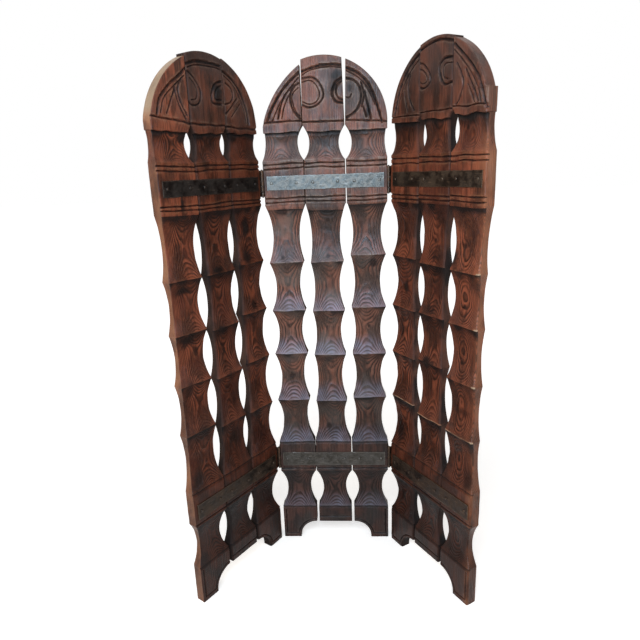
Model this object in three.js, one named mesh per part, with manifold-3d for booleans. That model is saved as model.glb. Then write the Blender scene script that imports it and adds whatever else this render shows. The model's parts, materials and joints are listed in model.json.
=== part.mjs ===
// A folding floor screen of three arched panels. Each panel is three carved planks held side by side
// by two flat iron straps and their nails, and the side panels fold forward on iron butt hinges.
// Millimetres, +Z up, the front faces -Y. The origin is on the floor, under the middle of the screen's
// box with the side panels half folded, as the screen stands.

import * as THREE from 'three';
import { mergeVertices } from 'three/addons/utils/BufferGeometryUtils.js';
import Module from 'manifold-3d';

const wasm = await Module();
wasm.setup();

// ---------------------------------------------------------------- driving dimensions

// Planks
const PLANK_WIDTH = 142;
const PLANK_THICKNESS = 40;
const PLANK_GAP = 1.5;
const PLANKS_PER_PANEL = 3;

// Heights up a panel, one above the other from the floor
const FOOT_BLOCK_HEIGHT = 147;
const LOWER_NECK_HEIGHT = 161;
const LOWER_BAND_HEIGHT = 130;
const RIDGE_COUNT = 4;
const RIDGE_PITCH = 180.5;
const TOP_SCOOP_HEIGHT = 196;
const UPPER_BAND_HEIGHT = 149;
const UPPER_NECK_HEIGHT = 94;
const LIP_HEIGHT = 18;

// Feet: the outer planks stand on brackets, the middle plank ends above the floor
const ARCH_RADIUS = 68;
const FOOT_RISE = 6;
const FOOT_INNER_INSET = 4;

// Scoops: how far the edges and the front faces are cut in
const INNER_RIDGE_INSET = 11;
const OUTER_PLANK_EDGE_SCOOP = 17;
const MIDDLE_PLANK_EDGE_SCOOP = 14;
const FACE_SCOOP = 16;
const LOWER_NECK_EDGE_SCOOP = 23;
const LOWER_NECK_FACE_SCOOP = 16;
const UPPER_NECK_OUTER_SCOOP = 6;
const UPPER_NECK_INNER_SCOOP = 20;
const UPPER_NECK_FACE_SCOOP = 10;
const LIP_OVERHANG = 4;
// How much deeper a seam's scoops are on right-hand edges, and shallower on left-hand ones, panel by panel
const SEAM_SCOOP_LEAN = { centre: 3, left_wing: -4, right_wing: 5 };
// The scoops on a panel's left and right side: their depth, and how far in the ridges between them lie
const SIDE_SCOOPS = {
  centre: [{ depth: 19, ridge: 4 }, { depth: 20, ridge: 6 }],
  left_wing: [{ depth: 14, ridge: 3 }, { depth: 12, ridge: 5 }],
  right_wing: [{ depth: 12, ridge: 5 }, { depth: 10, ridge: 11 }],
};

// How far each hand-cut ridge lies above its even place, lowest ridge first, plank by plank
const RIDGE_DRIFT = {
  centre: [[-1, 7, -7, -8], [-8, 0, -10, -9], [6, 2, 0, 13]],
  left_wing: [[26, 16, 6, -3], [4, 0, -8, -4], [-3, 8, 9, 5]],
  right_wing: [[20, 16, 11, 10], [0, 25, 12, 2], [-4, 4, 9, -2]],
};

// How far the planks have drawn apart, seam by seam, at the top of the dome and at the upper band
const SEAM_OPENING = {
  centre: [{ top: 4, band: 0 }, { top: 11, band: 4 }],
  left_wing: [{ top: 0, band: 0 }, { top: 0, band: 0 }],
  right_wing: [{ top: 0, band: 0 }, { top: 0, band: 0 }],
};

// How each plank's hand-sawn top departs from the true half round: how far it lies below it, how much
// of the true bulge it has, and how far in its outer end starts
const TOPS = {
  centre: [{ drop: 13, bulge: 0.62, start: 8 }, { drop: 0, bulge: 1 }, { drop: 0, bulge: 1, start: 0 }],
  left_wing: [{ drop: 18, bulge: 0.85, start: 0 }, { drop: 11, bulge: 1 }, { drop: 8, bulge: 1, start: 0 }],
  right_wing: [{ drop: 3, bulge: 0.9, start: 0 }, { drop: 0, bulge: 1 }, { drop: 4, bulge: 0.92, start: 8 }],
};

// Carved lines
const GROOVE_WIDTH = 5;
const GROOVE_DEPTH = 3.5;
const GROOVE_PAIR_INSET = 10;
const GROOVE_PAIR_SPACING = 14;
const LOWER_BAND_GROOVE_INSET = 9;
const LEDGE_GROOVE_WIDTH = 12;
const LEDGE_GROOVE_DEPTH = 4;
const DOME_BASE_GROOVE_RISE = 6;
const RIM_WIDTH_AT_SIDES = 20;
const RIM_WIDTH_AT_TOP = 34;
const SCROLL_RADIUS = 51;
const SCROLL_RISE = 101;
const LEFT_SCROLL_OFFSET = 56;
const RIGHT_SCROLL_OFFSET = 74;
const SCROLL_TAIL = 42;
const SCROLL_START_DEGREES = -110;
const SCROLL_SWEEP_DEGREES = 372;
const SCROLL_TAIL_FADE_DEGREES = 41;
const SCROLL_TIGHTENING = 0.15;
const LEAF_OUTER_FOOT = 150;
const LEAF_INNER_FOOT = 82;
const LEAF_TIP_OFFSET = 92;
const LEAF_TIP_RISE = 122;
const LEAF_JOIN_OFFSET = 115;
const LEAF_JOIN_RISE = 82;
const LEAF_BELLY = 12;
const FOOT_FRAME_INSET = 11;
const MIDDLE_BLOCK_GROOVE_RISE = 22;

// Iron straps and nails
const STRAP_END_INSET = 11;
const STRAP_THICKNESS = 3;
const UPPER_STRAP_HEIGHT = 49;
const LOWER_STRAP_HEIGHT = 59;
const LOWER_STRAP_RISE = 25;
const NAIL_EDGE_INSET = 28;
const NAIL_HEAD_RADIUS = 5.5;
const NAIL_HEAD_HEIGHT = 2.5;
const NAIL_CROWN_RADIUS = 3.9;
const NAIL_CROWN_HEIGHT = 2;
const NAIL_SHANK_RADIUS = 2;
const NAIL_LENGTH = 30;

// Butt hinges
const HINGE_HEIGHT = 89;
const KNUCKLE_COUNT = 5;
const KNUCKLE_RADIUS = 5;
const PIN_RADIUS = 2.5;
const PIN_TIP_HEIGHT = 3;
const PIN_TIP_RADIUS = 3.5;
const PIN_TIP_OVERLAP = 1;
const LEAF_DEPTH = 36;
const LEAF_THICKNESS = 1.8;
const LEAF_CLEARANCE = 0.8;

// Clearances and the fold as the screen stands
const SEAT_GAP = 0.3;
const FOLD_CLEARANCE = 1.9;
const WING_FOLD_DEGREES = 57;

// Facets
const SCOOP_STEPS = 5;
const DOME_STEPS = 6;
const ARCH_STEPS = 6;
const RIM_STEPS = 5;
const SCROLL_STEPS = 18;
const LEAF_STEPS = 4;
const NAIL_SIDES = 8;
const KNUCKLE_SIDES = 12;

// ---------------------------------------------------------------- sizes worked out from them

const PLANK_PITCH = PLANK_WIDTH + PLANK_GAP;
const PANEL_WIDTH = PLANKS_PER_PANEL * PLANK_WIDTH + (PLANKS_PER_PANEL - 1) * PLANK_GAP;
const DOME_RADIUS = PANEL_WIDTH / 2;

const FOOT_TOP = FOOT_BLOCK_HEIGHT;
const LOWER_BAND_BOTTOM = FOOT_TOP + LOWER_NECK_HEIGHT;
const LOWER_BAND_TOP = LOWER_BAND_BOTTOM + LOWER_BAND_HEIGHT;
const UPPER_BAND_BOTTOM = LOWER_BAND_TOP + RIDGE_COUNT * RIDGE_PITCH + TOP_SCOOP_HEIGHT;
const UPPER_BAND_TOP = UPPER_BAND_BOTTOM + UPPER_BAND_HEIGHT;
const LIP_BOTTOM = UPPER_BAND_TOP + UPPER_NECK_HEIGHT;
const DOME_BASE = LIP_BOTTOM + LIP_HEIGHT;
const APEX = DOME_BASE + DOME_RADIUS;
const ARCH_TOP = FOOT_RISE + ARCH_RADIUS;
const DOME_BASE_GROOVE = DOME_BASE + DOME_BASE_GROOVE_RISE;

const NAIL_PROUD = STRAP_THICKNESS + NAIL_HEAD_HEIGHT + 2 * SEAT_GAP;
const HINGE_PROUD = Math.max(NAIL_PROUD, KNUCKLE_RADIUS) + FOLD_CLEARANCE;
const HINGE_SEAM = 2 * (LEAF_THICKNESS + SEAT_GAP) + LEAF_CLEARANCE;
const UPPER_HINGE_HEIGHT = UPPER_BAND_BOTTOM + UPPER_BAND_HEIGHT / 2;
const LOWER_HINGE_HEIGHT = LOWER_BAND_BOTTOM + LOWER_BAND_HEIGHT / 2;
const WING_FOLD = THREE.MathUtils.degToRad(WING_FOLD_DEGREES);

// ---------------------------------------------------------------- materials

const wood = new THREE.MeshStandardMaterial({ color: 0x5b3122, roughness: 0.45, metalness: 0 });
const strapIron = new THREE.MeshStandardMaterial({ color: 0x47443d, roughness: 0.5, metalness: 0.8 });
const nailIron = new THREE.MeshStandardMaterial({ color: 0x2b2927, roughness: 0.5, metalness: 0.8 });
const hingeIron = new THREE.MeshStandardMaterial({ color: 0x3b2a20, roughness: 0.6, metalness: 0.7 });

// ---------------------------------------------------------------- shape helpers

// Axis frames for extrusions: a shape drawn in (x, z) or in (y, z), pushed along the third axis
const ALONG_Y = new THREE.Matrix4().makeBasis(
  new THREE.Vector3(1, 0, 0), new THREE.Vector3(0, 0, 1), new THREE.Vector3(0, -1, 0));
const ALONG_X = new THREE.Matrix4().makeBasis(
  new THREE.Vector3(0, 1, 0), new THREE.Vector3(0, 0, 1), new THREE.Vector3(1, 0, 0));

function solidOf(geometry) {
  const bare = geometry.clone();
  bare.deleteAttribute('normal');
  bare.deleteAttribute('uv');
  const merged = mergeVertices(bare);
  const index = Array.from(merged.index.array);
  const kept = [];
  for (let i = 0; i < index.length; i += 3) {
    const [a, b, c] = index.slice(i, i + 3);
    if (a !== b && b !== c && c !== a) kept.push(a, b, c);
  }
  return new wasm.Manifold(new wasm.Mesh({
    numProp: 3,
    vertProperties: new Float32Array(merged.attributes.position.array),
    triVerts: new Uint32Array(kept),
  }));
}

function geometryOf(solid) {
  const mesh = solid.getMesh();
  const geometry = new THREE.BufferGeometry();
  geometry.setAttribute('position', new THREE.BufferAttribute(mesh.vertProperties, 3));
  geometry.setIndex(new THREE.BufferAttribute(mesh.triVerts, 1));
  geometry.computeVertexNormals();
  return geometry;
}

// A profile drawn in (x, z), filling y from front to back
function pushedAlongY(shape, front, back, curveSegments = SCOOP_STEPS) {
  const options = { depth: back - front, bevelEnabled: false, curveSegments };
  return new THREE.ExtrudeGeometry(shape, options).applyMatrix4(ALONG_Y).translate(0, back, 0);
}

// A profile drawn in (y, z), filling x from left to right
function pushedAlongX(shape, left, right) {
  const options = { depth: right - left, bevelEnabled: false };
  return new THREE.ExtrudeGeometry(shape, options).applyMatrix4(ALONG_X).translate(left, 0, 0);
}

function namedMesh(name, geometry, material) {
  const mesh = new THREE.Mesh(geometry, material);
  mesh.name = name;
  return mesh;
}

// ---------------------------------------------------------------- scoops

// How deep a circular arc of this chord and depth is, at t from 0 to 1 along the chord
function arcDepth(t, chord, depth) {
  if (depth === 0) return 0;
  const radius = (chord * chord / 4 + depth * depth) / (2 * depth);
  const along = chord * (t - 0.5);
  return Math.sqrt(radius * radius - along * along) - (radius - depth);
}

// The points [depth, height] of a scoop between two heights, with the depth at each of its ends
function scoop(bottom, top, depth, startDepth = 0, endDepth = 0) {
  const points = [];
  for (let i = 0; i <= SCOOP_STEPS; i++) {
    const t = i / SCOOP_STEPS;
    const ends = startDepth + (endDepth - startDepth) * t;
    points.push([ends + arcDepth(t, top - bottom, depth), bottom + (top - bottom) * t]);
  }
  return points;
}

// The ends of the five scoops between the bands
function scoopEnds(panel, plank) {
  const ridges = RIDGE_DRIFT[panel][plank].map((drift, i) => LOWER_BAND_TOP + (i + 1) * RIDGE_PITCH + drift);
  return [LOWER_BAND_TOP, ...ridges, UPPER_BAND_BOTTOM];
}

function scoopsBetweenBands(panel, plank, depth, ridgeInset, topInset = 0) {
  const ends = scoopEnds(panel, plank);
  const points = [];
  for (let i = 0; i + 1 < ends.length; i++) {
    const startDepth = i === 0 ? 0 : ridgeInset;
    const endDepth = i + 2 === ends.length ? topInset : ridgeInset;
    points.push(...scoop(ends[i], ends[i + 1], depth, startDepth, endDepth));
  }
  return points;
}

// ---------------------------------------------------------------- planks

const PLANK_NAMES = {
  centre: ['left', 'middle', 'right'],
  left_wing: ['outer', 'middle', 'inner'],
  right_wing: ['inner', 'middle', 'outer'],
};

const isOuter = (plank) => plank === 0 || plank === PLANKS_PER_PANEL - 1;
const plankLeft = (plank) => plank * PLANK_PITCH - PANEL_WIDTH / 2;
const plankCentre = (plank) => plankLeft(plank) + PLANK_WIDTH / 2;
const edgeScoop = (plank) => (isOuter(plank) ? OUTER_PLANK_EDGE_SCOOP : MIDDLE_PLANK_EDGE_SCOOP);

// The edge at a side of the panel, as [inset, height] from the floor up to the lip. The sign is -1
// for a left-hand edge and 1 for a right-hand one.
function outerEdge(panel, plank, sign) {
  const { start } = TOPS[panel][plank];
  const { depth, ridge } = SIDE_SCOOPS[panel][sign < 0 ? 0 : 1];
  return [
    [0, 0],
    ...scoop(FOOT_TOP, LOWER_BAND_BOTTOM, LOWER_NECK_EDGE_SCOOP),
    ...scoopsBetweenBands(panel, plank, depth, ridge),
    ...scoop(UPPER_BAND_TOP, LIP_BOTTOM, UPPER_NECK_OUTER_SCOOP, 0, start + LIP_OVERHANG),
    [start, LIP_BOTTOM],
  ];
}

// An edge at a seam between two planks, as [inset, height] from the arch up to the dome's base
function seamEdge(panel, plank, sign) {
  const lean = sign * SEAM_SCOOP_LEAN[panel];
  const opening = seamOpening(panel, plank, sign).band / 2;
  return [
    [FOOT_INNER_INSET, ARCH_TOP],
    ...scoop(FOOT_TOP, LOWER_BAND_BOTTOM, LOWER_NECK_EDGE_SCOOP, FOOT_INNER_INSET, 0),
    ...scoopsBetweenBands(panel, plank, edgeScoop(plank) + lean, INNER_RIDGE_INSET + lean / 2, opening),
    ...scoop(UPPER_BAND_TOP, DOME_BASE, UPPER_NECK_INNER_SCOOP, opening, 0),
  ];
}

const atSide = (plank, sign) => (sign < 0 ? plank === 0 : plank === PLANKS_PER_PANEL - 1);
const seamOpening = (panel, plank, sign) => SEAM_OPENING[panel][sign < 0 ? plank - 1 : plank];
const edgeX = (plank, sign) => plankCentre(plank) + sign * PLANK_WIDTH / 2;

// The end of a plank's top on one side, where border is how far inside the plank's own edge it lies
function topEnd(panel, plank, sign, border = { side: 0, top: 0, rise: 0 }) {
  const { drop, start } = TOPS[panel][plank];
  if (atSide(plank, sign)) {
    return new THREE.Vector2(edgeX(plank, sign) - sign * (start + border.side), DOME_BASE + border.rise);
  }
  const x = edgeX(plank, sign) - sign * seamOpening(panel, plank, sign).top / 2;
  const radius = DOME_RADIUS - border.top;
  return new THREE.Vector2(x, DOME_BASE - drop + Math.sqrt(radius * radius - x * x));
}

// A plank's top from its right end to its left end: a chord with its share of the true bulge
class TopCurve extends THREE.Curve {
  constructor(panel, plank, border) {
    super();
    this.from = topEnd(panel, plank, 1, border);
    this.to = topEnd(panel, plank, -1, border);
    this.chord = this.from.distanceTo(this.to);
    const fullBulge = DOME_RADIUS - Math.sqrt(DOME_RADIUS * DOME_RADIUS - this.chord * this.chord / 4);
    this.bulge = TOPS[panel][plank].bulge * fullBulge;
  }

  getPoint(t) {
    const along = this.to.clone().sub(this.from);
    const outward = new THREE.Vector2(along.y, -along.x).normalize();
    const point = this.from.clone().addScaledVector(along, t);
    return point.addScaledVector(outward, arcDepth(t, this.chord, this.bulge));
  }
}

// The quarter-round under an outer plank, from the foot up to the seam, on the side given by sign
function footArch(seamX, sign) {
  const points = [];
  for (let i = 0; i <= ARCH_STEPS; i++) {
    const angle = Math.PI / 2 * i / ARCH_STEPS;
    points.push([seamX - sign * ARCH_RADIUS * Math.cos(angle), FOOT_RISE + ARCH_RADIUS * Math.sin(angle)]);
  }
  return points;
}

function frontOutline(panel, plank) {
  const edge = (sign) => (atSide(plank, sign) ? outerEdge : seamEdge)(panel, plank, sign);
  const points = [];
  if (atSide(plank, -1)) {
    const arch = footArch(edgeX(plank, 1) - FOOT_INNER_INSET, 1);
    points.push([arch[0][0], 0], ...arch.slice(0, -1));
  }
  if (atSide(plank, 1)) {
    const arch = footArch(edgeX(plank, -1) + FOOT_INNER_INSET, -1);
    points.push(...arch.slice(0, -1).reverse(), [arch[0][0], 0]);
  }
  points.push(...edge(1).map(([inset, height]) => [edgeX(plank, 1) - inset, height]));
  points.push(...new TopCurve(panel, plank).getPoints(DOME_STEPS).map(({ x, y }) => [x, y]));
  points.push(...edge(-1).reverse().map(([inset, height]) => [edgeX(plank, -1) + inset, height]));
  return new THREE.Shape(points.map(([x, z]) => new THREE.Vector2(x, z)));
}

// The plank seen from the side: flat at the back, scooped at the front
function sideOutline(panel, plank) {
  const front = [
    [0, 0],
    ...scoop(FOOT_TOP, LOWER_BAND_BOTTOM, LOWER_NECK_FACE_SCOOP),
    ...scoopsBetweenBands(panel, plank, FACE_SCOOP, 0),
    ...scoop(UPPER_BAND_TOP, LIP_BOTTOM, UPPER_NECK_FACE_SCOOP, 0, LIP_OVERHANG),
    [0, LIP_BOTTOM],
    [0, APEX + 1],
  ];
  const back = [[PLANK_THICKNESS, APEX + 1], [PLANK_THICKNESS, 0]];
  return new THREE.Shape([...front, ...back].map(([y, z]) => new THREE.Vector2(y, z)));
}

// ---------------------------------------------------------------- carved lines

// A line drawn in the plane of the front face, for a groove to follow
class FaceCurve extends THREE.Curve {
  constructor(planar) {
    super();
    this.planar = planar;
  }

  getPoint(t) {
    const point = this.planar.getPoint(t);
    return new THREE.Vector3(point.x, 0, point.y);
  }
}

// A curl that comes up from its foot in a wide tail and winds in to a round eye. The sign is -1 for
// the left curl, which runs clockwise, and 1 for its mirror image.
class ScrollCurve extends THREE.Curve {
  constructor(sign, offset) {
    super();
    this.sign = sign;
    this.offset = offset;
  }

  getPoint(t) {
    const turned = SCROLL_SWEEP_DEGREES * t;
    const tail = SCROLL_TAIL * Math.exp(-turned / SCROLL_TAIL_FADE_DEGREES);
    const radius = SCROLL_RADIUS * (1 - SCROLL_TIGHTENING * t) + tail;
    const angle = THREE.MathUtils.degToRad(SCROLL_START_DEGREES - turned);
    const outward = this.offset - radius * Math.cos(angle);
    return new THREE.Vector2(this.sign * outward, DOME_BASE + SCROLL_RISE + radius * Math.sin(angle));
  }
}

// The V of a groove, drawn as [out of the face, across]
function grooveSection(width, depth) {
  const out = 1;
  const halfWidth = width / 2 * (1 + out / depth);
  return new THREE.Shape([
    new THREE.Vector2(-depth, 0),
    new THREE.Vector2(out, -halfWidth),
    new THREE.Vector2(out, halfWidth),
  ]);
}

function groove(planar, steps, width = GROOVE_WIDTH, depth = GROOVE_DEPTH) {
  const options = { steps, extrudePath: new FaceCurve(planar), bevelEnabled: false };
  return solidOf(new THREE.ExtrudeGeometry(grooveSection(width, depth), options));
}

function straightGroove(fromX, fromZ, toX, toZ, width, depth) {
  const line = new THREE.LineCurve(new THREE.Vector2(fromX, fromZ), new THREE.Vector2(toX, toZ));
  return groove(line, 1, width, depth);
}

// A level line right across the panel
function levelGroove(height, width, depth) {
  return straightGroove(-PANEL_WIDTH / 2 - 1, height, PANEL_WIDTH / 2 + 1, height, width, depth);
}

function bandGrooves() {
  const fine = [
    LOWER_BAND_BOTTOM + LOWER_BAND_GROOVE_INSET,
    UPPER_BAND_BOTTOM + GROOVE_PAIR_INSET,
    UPPER_BAND_BOTTOM + GROOVE_PAIR_INSET + GROOVE_PAIR_SPACING,
    UPPER_BAND_TOP - GROOVE_PAIR_INSET - GROOVE_PAIR_SPACING,
    UPPER_BAND_TOP - GROOVE_PAIR_INSET,
    DOME_BASE_GROOVE,
  ];
  const underLedges = [FOOT_TOP, LOWER_BAND_TOP].map((height) => height - 1 - LEDGE_GROOVE_WIDTH / 2);
  return [
    ...fine.map((height) => levelGroove(height)),
    ...underLedges.map((height) => levelGroove(height, LEDGE_GROOVE_WIDTH, LEDGE_GROOVE_DEPTH)),
  ];
}

// The arc inside the dome's edge, which narrows from the top to the sides
function rimGroove(panel, plank) {
  const border = { side: RIM_WIDTH_AT_SIDES, top: RIM_WIDTH_AT_TOP, rise: DOME_BASE_GROOVE_RISE };
  return groove(new TopCurve(panel, plank, border), RIM_STEPS);
}

// The two sides of the pointed leaf in a lower corner of the dome
function leafGrooves(sign) {
  const point = (offset, rise) => new THREE.Vector2(sign * offset, DOME_BASE_GROOVE + rise);
  const outer = new THREE.QuadraticBezierCurve(
    point(LEAF_OUTER_FOOT, 0),
    point(LEAF_OUTER_FOOT - LEAF_BELLY, LEAF_TIP_RISE / 2),
    point(LEAF_TIP_OFFSET, LEAF_TIP_RISE));
  const inner = new THREE.QuadraticBezierCurve(
    point(LEAF_INNER_FOOT, 0),
    point(LEAF_JOIN_OFFSET - LEAF_BELLY / 2, LEAF_JOIN_RISE / 3),
    point(LEAF_JOIN_OFFSET, LEAF_JOIN_RISE));
  return [groove(outer, LEAF_STEPS), groove(inner, LEAF_STEPS)];
}

function domeCarving() {
  const grooves = [];
  for (const [sign, offset] of [[-1, LEFT_SCROLL_OFFSET], [1, RIGHT_SCROLL_OFFSET]]) {
    grooves.push(groove(new ScrollCurve(sign, offset), SCROLL_STEPS));
    grooves.push(...leafGrooves(sign));
  }
  return grooves;
}

// The frame line on a bracket foot: down the side, across the bottom and round beside the arch
function footFrame(sign) {
  const side = sign * (PANEL_WIDTH / 2 - FOOT_FRAME_INSET);
  const seam = sign * (PANEL_WIDTH / 2 - PLANK_WIDTH + FOOT_INNER_INSET);
  const radius = ARCH_RADIUS + FOOT_FRAME_INSET;
  const bottom = FOOT_RISE + FOOT_FRAME_INSET;
  const top = FOOT_TOP - LEDGE_GROOVE_WIDTH - GROOVE_WIDTH;
  const startAngle = Math.asin((bottom - FOOT_RISE) / radius);
  const arc = sign < 0
    ? new THREE.ArcCurve(seam, FOOT_RISE, radius, Math.PI - startAngle, Math.PI / 2, true)
    : new THREE.ArcCurve(seam, FOOT_RISE, radius, startAngle, Math.PI / 2, false);
  const footInner = seam + sign * radius * Math.cos(startAngle);
  return [
    straightGroove(side, top, side, bottom),
    straightGroove(side, bottom, footInner, bottom),
    groove(arc, ARCH_STEPS),
  ];
}

function middleBlockGroove() {
  const half = PLANK_WIDTH / 2;
  const height = ARCH_TOP + MIDDLE_BLOCK_GROOVE_RISE;
  return straightGroove(-half, height, half, height);
}

const CARVING = [...bandGrooves(), ...domeCarving(), ...footFrame(-1), ...footFrame(1), middleBlockGroove()];

// ---------------------------------------------------------------- straps and nails

const STRAPS = {
  upper: { height: UPPER_STRAP_HEIGHT, centre: UPPER_BAND_BOTTOM + UPPER_BAND_HEIGHT / 2 },
  lower: { height: LOWER_STRAP_HEIGHT, centre: LOWER_BAND_BOTTOM + LOWER_STRAP_RISE + LOWER_STRAP_HEIGHT / 2 },
};

// Two nails to each plank, one near either edge
function nailPlaces() {
  const places = [];
  for (let plank = 0; plank < PLANKS_PER_PANEL; plank++) {
    places.push(edgeX(plank, -1) + NAIL_EDGE_INSET, edgeX(plank, 1) - NAIL_EDGE_INSET);
  }
  return places;
}

function strapGeometry({ height, centre }) {
  const half = PANEL_WIDTH / 2 - STRAP_END_INSET;
  const shape = new THREE.Shape();
  shape.moveTo(-half, centre - height / 2);
  shape.lineTo(half, centre - height / 2);
  shape.lineTo(half, centre + height / 2);
  shape.lineTo(-half, centre + height / 2);
  shape.closePath();
  for (const x of nailPlaces()) {
    const hole = new THREE.Path();
    hole.absarc(x, centre, NAIL_SHANK_RADIUS + SEAT_GAP, 0, 2 * Math.PI, true);
    shape.holes.push(hole);
  }
  return geometryOf(solidOf(pushedAlongY(shape, -SEAT_GAP - STRAP_THICKNESS, -SEAT_GAP, NAIL_SIDES / 2)));
}

// A nail along Y with its domed head in front, its seat at y = 0 and its point behind
function nailGeometry() {
  const shankEnd = NAIL_LENGTH - NAIL_SHANK_RADIUS;
  const profile = [
    [0, -NAIL_HEAD_HEIGHT],
    [NAIL_CROWN_RADIUS, -NAIL_CROWN_HEIGHT],
    [NAIL_HEAD_RADIUS, 0],
    [NAIL_SHANK_RADIUS, 0],
    [NAIL_SHANK_RADIUS, shankEnd],
    [0, NAIL_LENGTH],
  ];
  const points = profile.map(([radius, y]) => new THREE.Vector2(radius, y));
  return geometryOf(solidOf(new THREE.LatheGeometry(points, NAIL_SIDES)));
}

// The holes that the nails fill in the planks behind a strap
function nailHoles({ centre }) {
  const depth = NAIL_LENGTH - STRAP_THICKNESS;
  return nailPlaces().map((x) => {
    const hole = new THREE.CylinderGeometry(
      NAIL_SHANK_RADIUS + SEAT_GAP, NAIL_SHANK_RADIUS + SEAT_GAP, depth + 1, NAIL_SIDES);
    return solidOf(hole.translate(x, (depth - 1) / 2, centre));
  });
}

const NAIL_HOLES = [...nailHoles(STRAPS.upper), ...nailHoles(STRAPS.lower)];

function plankGeometry(panel, plank) {
  const left = plankLeft(plank);
  const outline = solidOf(pushedAlongY(frontOutline(panel, plank), -1, PLANK_THICKNESS + 1));
  const side = solidOf(pushedAlongX(sideOutline(panel, plank), left - 1, left + PLANK_WIDTH + 1));
  let solid = outline.intersect(side);
  for (const cut of [...CARVING, rimGroove(panel, plank), ...NAIL_HOLES]) {
    solid = solid.subtract(cut);
  }
  return geometryOf(solid);
}

// ---------------------------------------------------------------- hinges

// The bottom and top of a knuckle, counted up from the lowest
function knuckleSpan(i) {
  const pitch = HINGE_HEIGHT / KNUCKLE_COUNT;
  const bottom = -HINGE_HEIGHT / 2 + i * pitch + (i > 0 ? SEAT_GAP / 2 : 0);
  const top = -HINGE_HEIGHT / 2 + (i + 1) * pitch - (i + 1 < KNUCKLE_COUNT ? SEAT_GAP / 2 : 0);
  return [bottom, top];
}

// A leaf seen from the side, about the pin's axis, with a tongue to each of its own knuckles: every
// second one, counted from the first given
function leafOutline(first) {
  const notch = KNUCKLE_RADIUS + SEAT_GAP;
  const points = [[LEAF_DEPTH, HINGE_HEIGHT / 2], [LEAF_DEPTH, -HINGE_HEIGHT / 2]];
  if (first > 0) points.push([notch, -HINGE_HEIGHT / 2]);
  for (let i = first; i < KNUCKLE_COUNT; i += 2) {
    const [bottom, top] = knuckleSpan(i);
    if (i > 0) points.push([notch, bottom]);
    points.push([0, bottom], [0, top]);
    if (i + 1 < KNUCKLE_COUNT) points.push([notch, top]);
  }
  if (first > 0) points.push([notch, HINGE_HEIGHT / 2]);
  return new THREE.Shape(points.map(([y, z]) => new THREE.Vector2(y, z)));
}

function knuckle(i) {
  const [bottom, top] = knuckleSpan(i);
  const barrel = new THREE.CylinderGeometry(KNUCKLE_RADIUS, KNUCKLE_RADIUS, top - bottom, KNUCKLE_SIDES);
  return solidOf(barrel.rotateX(Math.PI / 2).translate(0, 0, (bottom + top) / 2));
}

function pin() {
  const half = HINGE_HEIGHT / 2;
  const profile = [
    [0, -half - PIN_TIP_HEIGHT],
    [PIN_TIP_RADIUS, -half - PIN_TIP_HEIGHT / 2],
    [PIN_RADIUS, -half + PIN_TIP_OVERLAP],
    [PIN_RADIUS, half - PIN_TIP_OVERLAP],
    [PIN_TIP_RADIUS, half + PIN_TIP_HEIGHT / 2],
    [0, half + PIN_TIP_HEIGHT],
  ];
  const points = profile.map(([radius, z]) => new THREE.Vector2(radius, z));
  return solidOf(new THREE.LatheGeometry(points, KNUCKLE_SIDES).rotateX(Math.PI / 2));
}

// A leaf on the side of the pin given by sign
function leafGeometry(sign, first, carriesPin) {
  const inner = LEAF_CLEARANCE / 2;
  const outer = inner + LEAF_THICKNESS;
  const [left, right] = sign > 0 ? [inner, outer] : [-outer, -inner];
  let solid = solidOf(pushedAlongX(leafOutline(first), left, right));
  for (let i = first; i < KNUCKLE_COUNT; i += 2) {
    solid = solid.add(knuckle(i));
  }
  if (carriesPin) return geometryOf(solid.add(pin()));
  const boreRadius = (PIN_RADIUS + SEAT_GAP) / Math.cos(Math.PI / KNUCKLE_SIDES);
  const bore = new THREE.CylinderGeometry(boreRadius, boreRadius, HINGE_HEIGHT + 2, KNUCKLE_SIDES);
  return geometryOf(solid.subtract(solidOf(bore.rotateX(Math.PI / 2))));
}

// ---------------------------------------------------------------- the screen

// One panel about its own middle: front face at y = 0, feet at z = 0
function panelGroup(panel) {
  const group = new THREE.Group();
  for (let plank = 0; plank < PLANKS_PER_PANEL; plank++) {
    const name = `${panel}_${PLANK_NAMES[panel][plank]}_plank`;
    group.add(namedMesh(name, plankGeometry(panel, plank), wood));
  }
  for (const [place, strap] of Object.entries(STRAPS)) {
    const name = `${panel}_${place}_strap`;
    group.add(namedMesh(name, strapGeometry(strap), strapIron));
    nailPlaces().forEach((x, i) => {
      const nail = namedMesh(`${name}_nail_${i + 1}`, nailGeometry(), nailIron);
      nail.position.set(x, -STRAP_THICKNESS - 2 * SEAT_GAP, strap.centre);
      group.add(nail);
    });
  }
  return group;
}

function hingeLeaves(group, wing, kind, sign, pivotX, pivotY) {
  const heights = { upper: UPPER_HINGE_HEIGHT, lower: LOWER_HINGE_HEIGHT };
  for (const [place, height] of Object.entries(heights)) {
    const fixed = kind === 'fixed';
    const geometry = leafGeometry(sign, fixed ? 0 : 1, fixed);
    const leaf = namedMesh(`${wing}_${place}_hinge_${kind}_leaf`, geometry, hingeIron);
    leaf.position.set(pivotX, pivotY, height);
    group.add(leaf);
  }
}

// A side panel in a group that turns about its hinge pins. The side is -1 on the left, 1 on the right.
function wingGroup(wing, side) {
  const turning = new THREE.Group();
  turning.position.set(side * (PANEL_WIDTH + HINGE_SEAM) / 2, -HINGE_PROUD, 0);
  turning.rotation.z = -side * WING_FOLD;
  const panel = panelGroup(wing);
  panel.position.set(side * (PANEL_WIDTH + HINGE_SEAM) / 2, HINGE_PROUD, 0);
  turning.add(panel);
  hingeLeaves(turning, wing, 'moving', side, 0, 0);
  return turning;
}

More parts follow.
